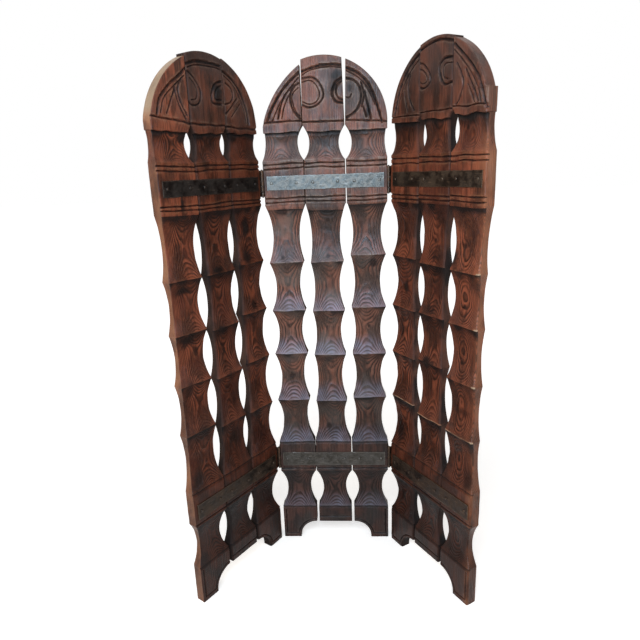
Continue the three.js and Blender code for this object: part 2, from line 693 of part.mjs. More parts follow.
const screen = new THREE.Group();
const centre = panelGroup('centre');
screen.add(centre);
for (const [wing, side] of [['left_wing', -1], ['right_wing', 1]]) {
  const pivotX = side * (PANEL_WIDTH + HINGE_SEAM) / 2;
  hingeLeaves(centre, wing, 'fixed', -side, pivotX, -HINGE_PROUD);
  screen.add(wingGroup(wing, side));
}

// The folded wings' front corners and the centre's back bound the screen's box from front to back
const wingReach = (PANEL_WIDTH + HINGE_SEAM / 2) * Math.sin(WING_FOLD) - HINGE_PROUD * Math.cos(WING_FOLD);
screen.position.y = (HINGE_PROUD + wingReach - PLANK_THICKNESS) / 2;

export default screen;
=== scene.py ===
# %% [markdown]
# # A folding screen of carved planks
# The screen has three panels, and each panel is three thick planks of stained pine, held side by side by two
# iron straps. Its makers cut scoops across the faces and the edges of every plank by hand, so no two planks
# are alike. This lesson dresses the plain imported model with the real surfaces: planks with drifting ridges,
# carved lines and worn edges, hammered iron, and butt hinges with screws.

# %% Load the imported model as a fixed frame
import json
import math

import bpy
import numpy as np
from mathutils import Matrix, Vector


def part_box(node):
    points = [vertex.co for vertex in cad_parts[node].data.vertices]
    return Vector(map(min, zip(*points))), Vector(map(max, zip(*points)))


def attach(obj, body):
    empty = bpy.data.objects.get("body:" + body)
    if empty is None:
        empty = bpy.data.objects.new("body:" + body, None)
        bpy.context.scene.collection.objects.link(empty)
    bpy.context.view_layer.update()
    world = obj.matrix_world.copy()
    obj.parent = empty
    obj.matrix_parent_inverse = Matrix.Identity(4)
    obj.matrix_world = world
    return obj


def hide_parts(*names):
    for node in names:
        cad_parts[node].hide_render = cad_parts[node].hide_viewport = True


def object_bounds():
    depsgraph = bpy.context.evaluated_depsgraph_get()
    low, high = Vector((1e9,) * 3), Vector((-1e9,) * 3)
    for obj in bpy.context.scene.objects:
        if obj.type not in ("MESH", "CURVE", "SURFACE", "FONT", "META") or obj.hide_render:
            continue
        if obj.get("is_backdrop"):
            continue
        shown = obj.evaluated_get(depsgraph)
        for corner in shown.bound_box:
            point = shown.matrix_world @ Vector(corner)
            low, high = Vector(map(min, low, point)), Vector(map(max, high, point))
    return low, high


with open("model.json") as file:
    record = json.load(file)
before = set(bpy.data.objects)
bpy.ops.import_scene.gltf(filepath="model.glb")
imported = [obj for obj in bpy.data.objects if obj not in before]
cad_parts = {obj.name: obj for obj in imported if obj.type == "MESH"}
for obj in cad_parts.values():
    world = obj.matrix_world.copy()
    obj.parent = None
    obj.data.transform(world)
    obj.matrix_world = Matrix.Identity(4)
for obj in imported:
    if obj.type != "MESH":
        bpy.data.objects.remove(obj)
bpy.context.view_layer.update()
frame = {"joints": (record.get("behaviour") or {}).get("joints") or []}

# %% [markdown]
# ## The sizes
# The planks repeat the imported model's driving sizes, because their fine surface has to lie exactly where the
# solids are. They are written in millimetres, as on a maker's drawing, and turned into metres only where a
# mesh is made. Heights are counted up from the floor.

# %% Sizes of the planks, in millimetres
MM = 0.001
PLANK_WIDTH, PLANK_THICKNESS, PLANK_GAP = 142.0, 40.0, 1.5
PLANK_PITCH = PLANK_WIDTH + PLANK_GAP
PANEL_WIDTH = 3 * PLANK_WIDTH + 2 * PLANK_GAP
DOME_RADIUS = PANEL_WIDTH / 2

FOOT_TOP = 147.0
LOWER_BAND = (308.0, 438.0)
UPPER_BAND = (1356.0, 1505.0)
RIDGE_PITCH = 180.5
LIP_BOTTOM, DOME_BASE = 1599.0, 1617.0
FOOT_RISE, ARCH_RADIUS, FOOT_INNER_INSET = 6.0, 68.0, 4.0
ARCH_TOP = FOOT_RISE + ARCH_RADIUS
print("A panel is", PANEL_WIDTH, "mm wide and", DOME_BASE + DOME_RADIUS, "mm high")

# %% Sizes of the scoops, and how the hand-cut ridges drift
FACE_SCOOP, LOWER_NECK_FACE, UPPER_NECK_FACE, LIP_OVERHANG = 16.0, 16.0, 10.0, 4.0
LOWER_NECK_EDGE, UPPER_NECK_OUTER, UPPER_NECK_INNER = 23.0, 6.0, 20.0
INNER_RIDGE_INSET, OUTER_PLANK_SCOOP, MIDDLE_PLANK_SCOOP = 11.0, 17.0, 14.0
# A seam's scoops are deeper on right-hand edges and shallower on left-hand ones by this much
SEAM_LEAN = {"centre": 3.0, "left_wing": -4.0, "right_wing": 5.0}
# The scoops on a panel's left and right side, as their depth and how far in the ridges between them lie
SIDE_SCOOPS = {
    "centre": [(19.0, 4.0), (20.0, 6.0)],
    "left_wing": [(14.0, 3.0), (12.0, 5.0)],
    "right_wing": [(12.0, 5.0), (10.0, 11.0)],
}
RIDGE_DRIFT = {
    "centre": [[-1, 7, -7, -8], [-8, 0, -10, -9], [6, 2, 0, 13]],
    "left_wing": [[26, 16, 6, -3], [4, 0, -8, -4], [-3, 8, 9, 5]],
    "right_wing": [[20, 16, 11, 10], [0, 25, 12, 2], [-4, 4, 9, -2]],
}
# How far the planks have drawn apart at the top of the dome and at the upper band, seam by seam
SEAM_OPENING = {
    "centre": [(4.0, 0.0), (11.0, 4.0)],
    "left_wing": [(0.0, 0.0), (0.0, 0.0)],
    "right_wing": [(0.0, 0.0), (0.0, 0.0)],
}
# How far each plank's top lies below the half round, its share of the true bulge, and where its end starts
TOPS = {
    "centre": [(13.0, 0.62, 8.0), (0.0, 1.0, 0.0), (0.0, 1.0, 0.0)],
    "left_wing": [(18.0, 0.85, 0.0), (11.0, 1.0, 0.0), (8.0, 1.0, 0.0)],
    "right_wing": [(3.0, 0.9, 0.0), (0.0, 1.0, 0.0), (4.0, 0.92, 8.0)],
}
PLANK_NAMES = {
    "centre": ["left", "middle", "right"],
    "left_wing": ["outer", "middle", "inner"],
    "right_wing": ["inner", "middle", "outer"],
}
print("Planks:", sum(len(names) for names in PLANK_NAMES.values()))

# %% [markdown]
# ## Where each panel stands
# Every panel is modelled flat, about the middle of its own front face, and then placed as a whole. The side
# panels turn about their hinge pins, so the pins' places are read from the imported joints, and the front face
# from the middle panel's planks. A change to the solids then carries over by itself.

# %% Placing the panels
front_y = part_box("centre_left_plank")[0].y
BODIES = {"centre": "centre_panel", "left_wing": "left_wing", "right_wing": "right_wing"}
WING_SIDE = {"left_wing": -1, "right_wing": 1}
PINS = {joint["child"]: Vector(joint["pos_m"]) for joint in frame["joints"]}
WING_FOLD = {joint["child"]: -math.radians(joint["range_deg"][0]) for joint in frame["joints"]}


def panel_place(panel):
    """The matrix that carries a flat panel to its place in the frame."""
    if panel == "centre":
        return Matrix.Translation((0, front_y, 0))
    side, pin = WING_SIDE[panel], PINS[panel]
    turn = Matrix.Rotation(-side * WING_FOLD[panel], 4, "Z")
    return Matrix.Translation((pin.x, pin.y, 0)) @ turn @ Matrix.Translation((pin.x, front_y - pin.y, 0))


PLACES = {panel: panel_place(panel) for panel in BODIES}
print("The hinge pins stand", round((front_y - PINS["left_wing"].y) / MM, 1), "mm in front of the planks")

# %% [markdown]
# ## Unevenness
# Hand work is uneven in a smooth way: an edge wanders over a hand's width and trembles over a finger's. Both
# come from one helper, a smooth random field over a plane, which is also used for worn patches and for the
# blows of a hammer. A fixed seed keeps every run the same.

# %% A smooth random field
def unevenness(x, z, size, seed):
    """A smooth field between -1 and 1 that varies over about size, at the points x, z."""
    rng = np.random.default_rng(seed)
    lattice = rng.uniform(-1, 1, (64, 64))
    x, z = np.asarray(x, float) / size + 7.3, np.asarray(z, float) / size + 3.1
    column, row = np.floor(x).astype(int), np.floor(z).astype(int)
    u, v = x - column, z - row
    u, v = u * u * (3 - 2 * u), v * v * (3 - 2 * v)
    corner = lambda i, j: lattice[(column + i) % 64, (row + j) % 64]
    near = corner(0, 0) * (1 - u) + corner(1, 0) * u
    far = corner(0, 1) * (1 - u) + corner(1, 1) * u
    return near * (1 - v) + far * v


def smooth_step(low, high, value):
    t = np.clip((value - low) / (high - low), 0, 1)
    return t * t * (3 - 2 * t)


print("A sample of unevenness:", np.round(unevenness(np.arange(4) * 10.0, np.zeros(4), 25, 1), 2))

# %% [markdown]
# ## Scoops
# A scoop is a shallow round hollow cut across the plank. On the face it is an arc of a circle seen from the
# side, and on an edge the same arc seen from the front. Five scoops run between the bands, and where two of
# them meet they leave a ridge. The functions below give how far a surface is cut in at a height.

# %% The profile of a scoop
def arc_depth(t, chord, depth):
    """The depth of a circular arc at t from 0 to 1 along its chord."""
    radius = (chord**2 / 4 + depth**2) / (2 * depth)
    along = chord * (t - 0.5)
    return np.sqrt(np.maximum(radius**2 - along**2, 0)) - (radius - depth)


def one_scoop(z, bottom, top, depth, first=0.0, last=0.0):
    t = (z - bottom) / (top - bottom)
    inside = (t >= 0) & (t <= 1)
    t = np.clip(t, 0, 1)
    return np.where(inside, first + (last - first) * t + arc_depth(t, top - bottom, depth), 0)


def ridge_heights(panel, plank):
    return [LOWER_BAND[1] + (i + 1) * RIDGE_PITCH + drift for i, drift in enumerate(RIDGE_DRIFT[panel][plank])]


def bay_ends(panel, plank):
    return [LOWER_BAND[1], *ridge_heights(panel, plank), UPPER_BAND[0]]


def scoops_between_bands(z, panel, plank, depth, ridge=0.0, last=0.0):
    ends = bay_ends(panel, plank)
    total = np.zeros_like(z)
    for i, (bottom, top) in enumerate(zip(ends, ends[1:])):
        scoop = one_scoop(z, bottom, top, depth, ridge if i else 0.0, last if i == len(ends) - 2 else ridge)
        total = np.where((z >= bottom) & (z < top), scoop, total)
    return total


print("Ridges of the middle panel's left plank:", ridge_heights("centre", 0))

# %% The two edges of a plank, from the foot block to the dome
def at_side(plank, sign):
    return plank == (0 if sign < 0 else 2)


def edge_x(plank, sign):
    return plank * PLANK_PITCH + PLANK_WIDTH / 2 - PANEL_WIDTH / 2 + sign * PLANK_WIDTH / 2


def middle_x(plank):
    return edge_x(plank, -1) + PLANK_WIDTH / 2


def seam_opening(panel, plank, sign):
    return SEAM_OPENING[panel][plank - 1 if sign < 0 else plank]


def edge_inset(panel, plank, sign, z):
    """How far the edge lies inside the plank's full width at each height."""
    if at_side(plank, sign):
        start = TOPS[panel][plank][2]
        inset = one_scoop(z, FOOT_TOP, LOWER_BAND[0], LOWER_NECK_EDGE)
        inset += scoops_between_bands(z, panel, plank, *SIDE_SCOOPS[panel][sign > 0])
        inset += one_scoop(z, UPPER_BAND[1], LIP_BOTTOM, UPPER_NECK_OUTER, 0.0, start + LIP_OVERHANG)
        return np.where(z > LIP_BOTTOM, start, inset)
    lean = sign * SEAM_LEAN[panel]
    scoop = (MIDDLE_PLANK_SCOOP if plank == 1 else OUTER_PLANK_SCOOP) + lean
    opening = seam_opening(panel, plank, sign)[1] / 2
    inset = one_scoop(z, FOOT_TOP, LOWER_BAND[0], LOWER_NECK_EDGE, FOOT_INNER_INSET, 0.0)
    inset += scoops_between_bands(z, panel, plank, scoop, INNER_RIDGE_INSET + lean / 2, opening)
    inset += one_scoop(z, UPPER_BAND[1], DOME_BASE, UPPER_NECK_INNER, opening, 0.0)
    return np.where(z < FOOT_TOP, FOOT_INNER_INSET, inset)


print("Edge inset at the first ridge:", edge_inset("centre", 0, 1, np.array([ridge_heights("centre", 0)[0]])))

# %% The top of a plank, as a chord with its share of the dome's bulge
TOP_POINTS = 400


def top_end(panel, plank, sign):
    drop, _, start = TOPS[panel][plank]
    if at_side(plank, sign):
        return np.array([edge_x(plank, sign) - sign * start, DOME_BASE])
    x = edge_x(plank, sign) - sign * seam_opening(panel, plank, sign)[0] / 2
    return np.array([x, DOME_BASE - drop + math.sqrt(DOME_RADIUS**2 - x**2)])


def top_curve(panel, plank):
    """Points along a plank's top from its left end to its right end."""
    left, right = top_end(panel, plank, -1), top_end(panel, plank, 1)
    chord = np.linalg.norm(right - left)
    full_bulge = DOME_RADIUS - math.sqrt(DOME_RADIUS**2 - chord**2 / 4)
    t = np.linspace(0, 1, TOP_POINTS)[:, None]
    along = (right - left) / chord
    outward = np.array([-along[1], along[0]])
    return left + (right - left) * t + outward * arc_depth(t, chord, TOPS[panel][plank][1] * full_bulge)


print("The middle plank's top rises to", round(float(top_curve("centre", 1)[:, 1].max()), 1), "mm")

# %% [markdown]
# ## Carved lines
# The face is decorated with lines cut with a V gouge: frame lines on the feet, pairs of lines along the
# bands, and in the dome a rim, two curls and the leaves beside them. Each line is a smooth curve through a
# few points, drawn on the flat panel with x from its middle. The carver cut the three domes by eye, so each
# has its own drawing, and a line rarely runs on exactly from one plank to the next.

# %% A smooth curve through a few points
def smooth_line(points, step=1.0):
    """Points about step apart on a Catmull-Rom curve through the given ones."""
    knots = np.array([points[0], *points, points[-1]], float)
    pieces = []
    for before, start, end, after in zip(knots, knots[1:], knots[2:], knots[3:]):
        t = np.linspace(0, 1, max(2, int(np.linalg.norm(end - start) / step)), endpoint=False)[:, None]
        pieces.append(0.5 * (2 * start + (end - before) * t
                             + (2 * before - 5 * start + 4 * end - after) * t**2
                             + (3 * start - before - 3 * end + after) * t**3))
    return np.vstack([*pieces, knots[-1:]])


# The width and depth of a line, and then each dome's lines as points (from the panel's middle, height)
BOLD, PLAIN, FINE = (10.5, 5.5), (8.0, 4.6), (5.5, 3.0)
DOMES = {
    "centre": [
        (BOLD, (-191, 1632), (-163, 1687), (-125, 1738), (-76, 1781)),
        (BOLD, (-68, 1783), (-38, 1792), (8, 1801), (64, 1798)),
        (BOLD, (78, 1790), (119, 1771), (153, 1736), (178, 1680), (196, 1618)),
        (FINE, (-173, 1631), (-142, 1690), (-99, 1743), (-78, 1765)),
        (FINE, (-66, 1772), (-31, 1788), (28, 1794), (64, 1790)),
        (FINE, (80, 1780), (119, 1758), (151, 1724), (173, 1686), (188, 1640)),
        (PLAIN, (-66, 1762), (-32, 1764), (-7, 1743), (3, 1708), (-16, 1681), (-46, 1672), (-71, 1682)),
        (FINE, (-68, 1750), (-39, 1755), (-18, 1737), (-10, 1708), (-24, 1687), (-46, 1682), (-66, 1690)),
        (PLAIN, (-78, 1748), (-100, 1733), (-108, 1704), (-101, 1669), (-78, 1637)),
        (FINE, (-80, 1734), (-97, 1719), (-102, 1697), (-90, 1659), (-78, 1646)),
        (PLAIN, (-96, 1743), (-124, 1714), (-141, 1680), (-152, 1640)),
        (FINE, (-90, 1738), (-114, 1708), (-130, 1676), (-139, 1640)),
        (BOLD, (66, 1758), (43, 1744), (32, 1713), (44, 1688), (68, 1682)),
        (PLAIN, (66, 1750), (50, 1736), (45, 1716), (54, 1697), (68, 1692)),
        (BOLD, (79, 1757), (106, 1749), (126, 1722), (126, 1682), (106, 1652), (78, 1636)),
        (FINE, (76, 1700), (90, 1698), (96, 1708)),
        (PLAIN, (128, 1742), (138, 1703), (130, 1672), (136, 1664), (144, 1636)),
        (PLAIN, (140, 1716), (148, 1678), (158, 1643), (160, 1628)),
        (FINE, (143, 1730), (162, 1700), (174, 1672)),
    ],
    "left_wing": [
        (BOLD, (-189, 1636), (-175, 1678), (-140, 1715), (-93, 1749), (-76, 1765)),
        (BOLD, (-68, 1780), (-31, 1790), (16, 1791), (66, 1788)),
        (BOLD, (76, 1774), (117, 1751), (150, 1715), (170, 1668), (178, 1625)),
        (FINE, (-176, 1640), (-160, 1680), (-122, 1714), (-80, 1746)),
        (FINE, (-66, 1770), (-31, 1780), (40, 1781), (66, 1777)),
        (FINE, (78, 1762), (110, 1742), (140, 1708), (160, 1660), (166, 1628)),
        (PLAIN, (-119, 1712), (-113, 1682), (-100, 1651), (-86, 1630)),
        (PLAIN, (-120, 1706), (-138, 1672), (-154, 1640)),
        (PLAIN, (-90, 1738), (-104, 1718), (-106, 1694), (-96, 1664), (-80, 1640)),
        (PLAIN, (-66, 1760), (-45, 1744), (-26, 1718), (-23, 1694), (-36, 1672), (-60, 1668), (-72, 1678)),
        (FINE, (-62, 1742), (-44, 1726), (-36, 1704), (-44, 1686), (-62, 1682)),
        (BOLD, (66, 1744), (38, 1733), (22, 1704), (26, 1680), (60, 1677)),
        (PLAIN, (64, 1732), (46, 1722), (36, 1704), (40, 1690), (62, 1690)),
        (PLAIN, (78, 1680), (100, 1686), (112, 1704), (106, 1728), (84, 1742)),
        (PLAIN, (78, 1652), (100, 1670), (130, 1700)),
        (FINE, (101, 1644), (128, 1670), (144, 1686)),
    ],
    "right_wing": [
        (BOLD, (-72, 1804), (-32, 1814), (18, 1818), (68, 1806)),
        (BOLD, (-78, 1795), (-122, 1768), (-161, 1724), (-185, 1672), (-197, 1634)),
        (BOLD, (76, 1795), (120, 1756), (158, 1716), (182, 1676), (203, 1613)),
        (FINE, (-78, 1780), (-116, 1754), (-150, 1716), (-174, 1668), (-184, 1634)),
        (FINE, (76, 1780), (110, 1748), (146, 1708), (172, 1664), (184, 1624)),
        (PLAIN, (-93, 1760), (-82, 1770), (-56, 1764), (-30, 1738), (-24, 1712), (-50, 1697), (-82, 1705),
         (-88, 1722)),
        (FINE, (-80, 1754), (-58, 1748), (-40, 1730), (-40, 1714), (-58, 1710), (-72, 1718)),
        (BOLD, (84, 1762), (39, 1765), (16, 1748), (20, 1720), (38, 1696), (66, 1698)),
        (FINE, (78, 1748), (44, 1750), (32, 1738), (36, 1716), (52, 1708)),
        (PLAIN, (88, 1744), (106, 1714), (114, 1688), (100, 1651), (88, 1634)),
        (PLAIN, (124, 1722), (136, 1700), (158, 1664), (171, 1634)),
        (FINE, (132, 1684), (146, 1660), (158, 1634)),
        (PLAIN, (-118, 1744), (-128, 1712), (-122, 1676), (-100, 1640)),
        (FINE, (-146, 1700), (-140, 1668), (-128, 1636)),
    ],
}
# The heights of the line under each dome, plank by plank, at its left and its right end
BASE_LINES = {
    "centre": [(1630, 1630), (1627, 1628), (1630, 1618)],
    "left_wing": [(1630, 1622), (1621, 1618), (1617, 1613)],
    "right_wing": [(1622, 1622), (1626, 1626), (1628, 1622)],
}
print("Lines in the domes:", [len(lines) for lines in DOMES.values()])

# %% All the lines of a panel
GROOVE, FOOT_GROOVE, MIDDLE_GROOVE, FOOT_FRAME = (7.0, 4.6), (6.0, 3.6), (6.0, 3.4), 11.0
BAND_LINES = [LOWER_BAND[0] + 9, UPPER_BAND[0] + 10, UPPER_BAND[0] + 24, UPPER_BAND[1] - 24, UPPER_BAND[1] - 10]


def level_line(plank, left_height, right_height, seed):
    """A hand-cut line across one plank."""
    x = np.arange(edge_x(plank, -1) - 3, edge_x(plank, 1) + 3, 2.0)
    height = np.interp(x, [edge_x(plank, -1), edge_x(plank, 1)], [left_height, right_height])
    return np.stack([x, height + 1.6 * unevenness(x, np.full_like(x, left_height), 50, seed)], 1)


def foot_frame(sign):
    """The frame line on a bracket foot: down the side, across the bottom and round beside the arch."""
    side, seam = PANEL_WIDTH / 2 - FOOT_FRAME, PANEL_WIDTH / 2 - PLANK_WIDTH + FOOT_INNER_INSET
    radius, bottom = ARCH_RADIUS + FOOT_FRAME, FOOT_RISE + FOOT_FRAME
    angles = np.linspace(math.asin(FOOT_FRAME / radius), math.pi / 2, 40)
    arc = np.stack([seam + radius * np.cos(angles), FOOT_RISE + radius * np.sin(angles)], 1)
    down = np.stack([np.full(60, side), np.linspace(FOOT_TOP - 18, bottom, 60)], 1)
    across = np.stack([np.linspace(side, arc[0, 0], 40), np.full(40, bottom)], 1)
    return np.vstack([down, across, arc]) * [sign, 1]


def carved_lines(panel, plank, seed):
    """(points, width, depth) of every line that crosses a plank."""
    heights = [(height + 2.0 * unevenness([0], [height], 1, seed)[0],) * 2 for height in BAND_LINES]
    heights.append(BASE_LINES[panel][plank])
    lines = [(level_line(plank, *ends, seed + i), *GROOVE) for i, ends in enumerate(heights)]
    lines += [(foot_frame(sign), *FOOT_GROOVE) for sign in (-1, 1)]
    middle = np.stack([np.linspace(-PLANK_WIDTH / 2, PLANK_WIDTH / 2, 80), np.full(80, ARCH_TOP + 22)], 1)
    lines.append((middle, *MIDDLE_GROOVE))
    left, right = edge_x(plank, -1) - 1, edge_x(plank, 1) + 1
    for size, *points in DOMES[panel]:
        line = smooth_line(points)
        if left < line[:, 0].mean() < right:
            lines.append((line, *size))
    return lines


print("Lines that cross a plank:", len(carved_lines("centre", 0, 1)))

# %% How deep a line is cut at each point of the face
# A groove's walls are hollow by this power, and the wood is rubbed this far beside it
GROOVE_POWER, RUBBED_BESIDE = 0.75, 2.4


def cut_depth(x, z, lines, seed):
    """At each point the depth of the deepest line, how much it is inside one, and how near beside one."""
    depth, inside, beside = np.zeros_like(x), np.zeros_like(x), np.zeros_like(x)
    tremble = 1 + 0.25 * unevenness(x, z, 14, seed + 3)
    for points, width, deep in lines:
        low, high = points.min(0) - width - 4, points.max(0) + width + 4
        near = (x > low[0]) & (x < high[0]) & (z > low[1]) & (z < high[1])
        if not near.any():
            continue
        px, pz = x[near], z[near]
        away = np.full(px.shape, np.inf)
        for chunk in np.array_split(points, max(1, len(points) // 60)):
            gaps = (px[:, None] - chunk[:, 0]) ** 2 + (pz[:, None] - chunk[:, 1]) ** 2
            away = np.minimum(away, gaps.min(1))
        half = width / 2 * tremble[near]
        share = np.clip(1 - np.sqrt(away) / half, 0, 1)
        depth[near] = np.maximum(depth[near], deep * share**GROOVE_POWER)
        inside[near] = np.maximum(inside[near], share)
        beside[near] = np.maximum(beside[near], np.exp(-np.abs(np.sqrt(away) - half - 1) / RUBBED_BESIDE))
    return depth, inside, beside * (inside == 0)


print("Cut at a line's middle:", cut_depth(np.array([0.0]), np.array([1627.0]), carved_lines("centre", 1, 1), 1)[0])

# %% [markdown]
# ## The surface of a plank
# A plank's skin is a grid: rows climb from the foot to the top, and the columns of each row run round the
# plank, across the face, through its thickness, along the back and forward again. Rows crowd together at
# ridges, bands and ledges, where the shape turns sharply, and spread out in the scoops. A grid like this keeps
# ridges crisp, has no stray faces, and lets every point know where in the plank it lies.

# %% Where the rows lie
CRISP = [FOOT_TOP, *LOWER_BAND, *UPPER_BAND, LIP_BOTTOM, DOME_BASE]
FINE_ROW, COARSE_ROW, LEDGE = 0.8, 4.0, 13.0
# Some planks keep a flat strip under the upper band, this many millimetres high
STRIPS = {("centre", 0): 16.0, ("centre", 1): 22.0, ("centre", 2): 5.0, ("left_wing", 0): 4.0,
          ("right_wing", 2): 6.0}


def row_heights(panel, plank):
    """Heights from the foot block to the dome, close together at everything crisp."""
    crisp = [*CRISP, *ridge_heights(panel, plank), *BAND_LINES]
    for ledge, undercut in ((FOOT_TOP, 1.5), (LOWER_BAND[1], 1.5), (LIP_BOTTOM, 0.6)):
        crisp += [ledge - undercut, ledge - LEDGE]
    crisp += [UPPER_BAND[0] - STRIPS.get((panel, plank), 0.0) * share for share in (0.85, 0.95, 1.05, 1.15)]
    crisp = np.array(sorted(h for h in set(crisp) if FOOT_TOP <= h <= DOME_BASE))
    heights = [FOOT_TOP]
    while heights[-1] < DOME_BASE - 1e-6:
        here = heights[-1]
        step = min(COARSE_ROW, FINE_ROW + 0.22 * np.abs(crisp - here).min())
        ahead = crisp[crisp > here + 1e-6].min()
        heights.append(ahead if ahead - here < 1.5 * step else here + step)
    return np.array(heights)


# The right panel's outer plank keeps a square shoulder beside its dome, up to this height
SHOULDER_PLANK, SHOULDER = ("right_wing", 2), 1671.0
SIDE_FOOT_ROWS, MIDDLE_FOOT_ROWS, TOP_ROWS = 67, 40, 150
# Rows that climb round a plank's outer top stop just short of its far corner, at this share of the way
NEAR_CORNER = 0.997


def along_path(path, shares):
    """The points that lie at the given shares of a path's length."""
    reach = np.concatenate([[0], np.cumsum(np.linalg.norm(np.diff(path, axis=0), axis=1))])
    return np.stack([np.interp(shares * reach[-1], reach, path[:, k]) for k in (0, 1)], 1)


def boundary_rows(panel, plank):
    """The left and right end of every row as (x, z), and how much of the top's bulge each row takes."""
    lefts, rights = [], []
    foot = np.linspace(0, 1, SIDE_FOOT_ROWS + 1)[:-1]
    if plank == 1:
        for sign, side in ((-1, lefts), (1, rights)):
            x = edge_x(plank, sign) - sign * FOOT_INNER_INSET
            climb = np.linspace(ARCH_TOP, FOOT_TOP, MIDDLE_FOOT_ROWS + 1)[:-1]
            side.append(np.stack([np.full_like(climb, x), climb], 1))
    else:
        outer = -1 if plank == 0 else 1
        seam = edge_x(plank, -outer) + outer * FOOT_INNER_INSET
        angles = np.linspace(0, math.pi / 2, 50)
        arch = np.stack([seam + outer * ARCH_RADIUS * np.cos(angles), FOOT_RISE + ARCH_RADIUS * np.sin(angles)], 1)
        inner = along_path(np.vstack([[arch[0, 0], 0], arch, [seam, FOOT_TOP]]), foot)
        straight = np.stack([np.full_like(foot, edge_x(plank, outer)), foot * FOOT_TOP], 1)
        lefts.append(straight if outer < 0 else inner)
        rights.append(inner if outer < 0 else straight)
    heights = row_heights(panel, plank)
    for sign, side in ((-1, lefts), (1, rights)):
        inset = edge_inset(panel, plank, sign, heights)
        wander = 0.5 * (1 + unevenness(heights, np.full_like(heights, plank * 90.0), 26, 11 + len(panel) + sign))
        side.append(np.stack([edge_x(plank, sign) - sign * (inset + wander), heights], 1))
    body_rows = sum(len(part) for part in lefts)
    rise = np.linspace(0, 1, TOP_ROWS + 1)[1:]
    curve = top_curve(panel, plank)
    for sign, side in ((-1, lefts), (1, rights)):
        if at_side(plank, sign):
            path = curve if sign < 0 else curve[::-1]
            ends = along_path(path, rise * NEAR_CORNER)
            if (panel, plank) == SHOULDER_PLANK:
                ends[:, 0] = np.where(ends[:, 1] < SHOULDER, path[0, 0], ends[:, 0])
            side.append(ends)
        else:
            end = curve[0] if sign < 0 else curve[-1]
            start = np.array([edge_x(plank, sign), DOME_BASE])
            side.append(start + (end - start) * (rise[:, None] if plank == 1 else rise[:, None] * NEAR_CORNER))
    bulge = np.concatenate([np.zeros(body_rows), rise**2 if plank == 1 else np.zeros(len(rise))])
    return np.vstack(lefts), np.vstack(rights), bulge


print("Rows of a plank:", len(boundary_rows("centre", 0)[0]))

# %% How hand cutting shifts the pattern
LIP_DROP = {"centre": 3.0, "left_wing": 8.0, "right_wing": -7.0}


def shift_of(panel, plank, x, z, seed):
    """How far the cuts at each point lie above their even height."""
    tilt = 0.035 * unevenness([0.0], [seed * 31.0], 1, seed)[0]
    lip = LIP_DROP[panel] * np.exp(-(((z - LIP_BOTTOM) / 24) ** 2))
    uneven_lip = lip * (1 + 0.5 * unevenness(x, x, 34, seed))
    shift = tilt * (x - middle_x(plank)) + 1.7 * unevenness(x, z, 48, seed + 1) - uneven_lip
    loose = smooth_step(FOOT_TOP + 5, FOOT_TOP + 45, z) * (1 - smooth_step(DOME_BASE, DOME_BASE + 40, z))
    return shift * loose


print("The left panel's lip lies", round(float(-shift_of("left_wing", 0, -150.0, LIP_BOTTOM, 105)), 1), "mm low")

# %% The face's relief
# How far the necks and bays of a plank are sunk below the even depth, and how deep the ledges are undercut
SUNK = {("left_wing", 0): 2.5, ("right_wing", 0): 1.5}
UNDERCUTS = {FOOT_TOP: 4.5, LOWER_BAND[1]: 4.5, LIP_BOTTOM: 5.0}
CREST_REACH = 2.4


def face_depth(panel, plank, x, z, seed):
    """How far the front lies behind the flat face, and two masks: recess, which is painted dark as shade, and wear,
    along the crests partly a painted highlight.
    """
    u = (x - middle_x(plank)) / (PLANK_WIDTH / 2)
    depth = one_scoop(z, FOOT_TOP, LOWER_BAND[0], LOWER_NECK_FACE)
    depth += scoops_between_bands(z, panel, plank, FACE_SCOOP)
    depth += one_scoop(z, UPPER_BAND[1], LIP_BOTTOM, UPPER_NECK_FACE, 0.0, LIP_OVERHANG)
    strip = STRIPS.get((panel, plank), 0.1) * (1.1 - 0.22 * u * u + 0.1 * unevenness(x, x, 20, seed + 13))
    below = (UPPER_BAND[0] - z) / strip
    held = (below > 0) & (below < 1)
    depth = np.where(held, np.minimum(depth, 0.4 + 1.4 * np.clip(below, 0, 1) ** 3), depth)
    hollow = smooth_step(0, 5, depth)
    depth += hollow * (0.9 * unevenness(x, z, 24, seed + 2) + 0.3 * unevenness(x, z, 9, seed + 6))
    in_band = smooth_step(0, 14, np.maximum(LOWER_BAND[0] - z, z - LOWER_BAND[1]))
    in_band *= smooth_step(0, 14, np.maximum(UPPER_BAND[0] - 20 - z, z - UPPER_BAND[1]))
    depth += in_band * (SUNK.get((panel, plank), 0) + 0.35 * (1 + unevenness(x, z, 30, seed + 8)))
    cut, recess, beside = cut_depth(x, z, carved_lines(panel, plank, seed), seed)
    # The undercut below each ledge also joins the recess mask, so it is painted dark as shade
    for ledge, deep in UNDERCUTS.items():
        below = (ledge - z + 0.8 * unevenness(x, z, 20, seed + 5)) / LEDGE
        undercut = np.where((below > 0) & (below < 1), smooth_step(0, 0.12, below) * (1 - below), 0)
        cut = np.maximum(cut, deep * undercut)
        recess = np.maximum(recess, 0.9 * undercut)
    ridges = np.array([*ridge_heights(panel, plank), FOOT_TOP, LOWER_BAND[1], UPPER_BAND[1], LIP_BOTTOM])
    # The light line along each crest is rubbed wear and, most of all on the middle panel, a painted highlight
    crest = np.exp(-np.abs(z[..., None] - ridges).min(-1) / CREST_REACH)
    crest *= 0.9 if panel == "centre" else 0.45
    return np.maximum(depth + cut, 0), recess, np.maximum(crest, 0.8 * beside)


print("Depth in the lowest scoop:", face_depth("centre", 0, np.array([-150.0]), np.array([520.0]), 5)[0].round(2))

# %% [markdown]
# ## Knots and the log
# Pine shows its growth rings. Where a scoop cuts down through them they appear as nested arches, and round a
# knot they swirl. So each plank remembers where in its log it was sawn: how far the log's pith lies to one
# side and in front of the face or behind it. The position relative to the pith is stored on every point, and
# the wood's material then draws rings round the pith in three dimensions, through scoops and edges alike.

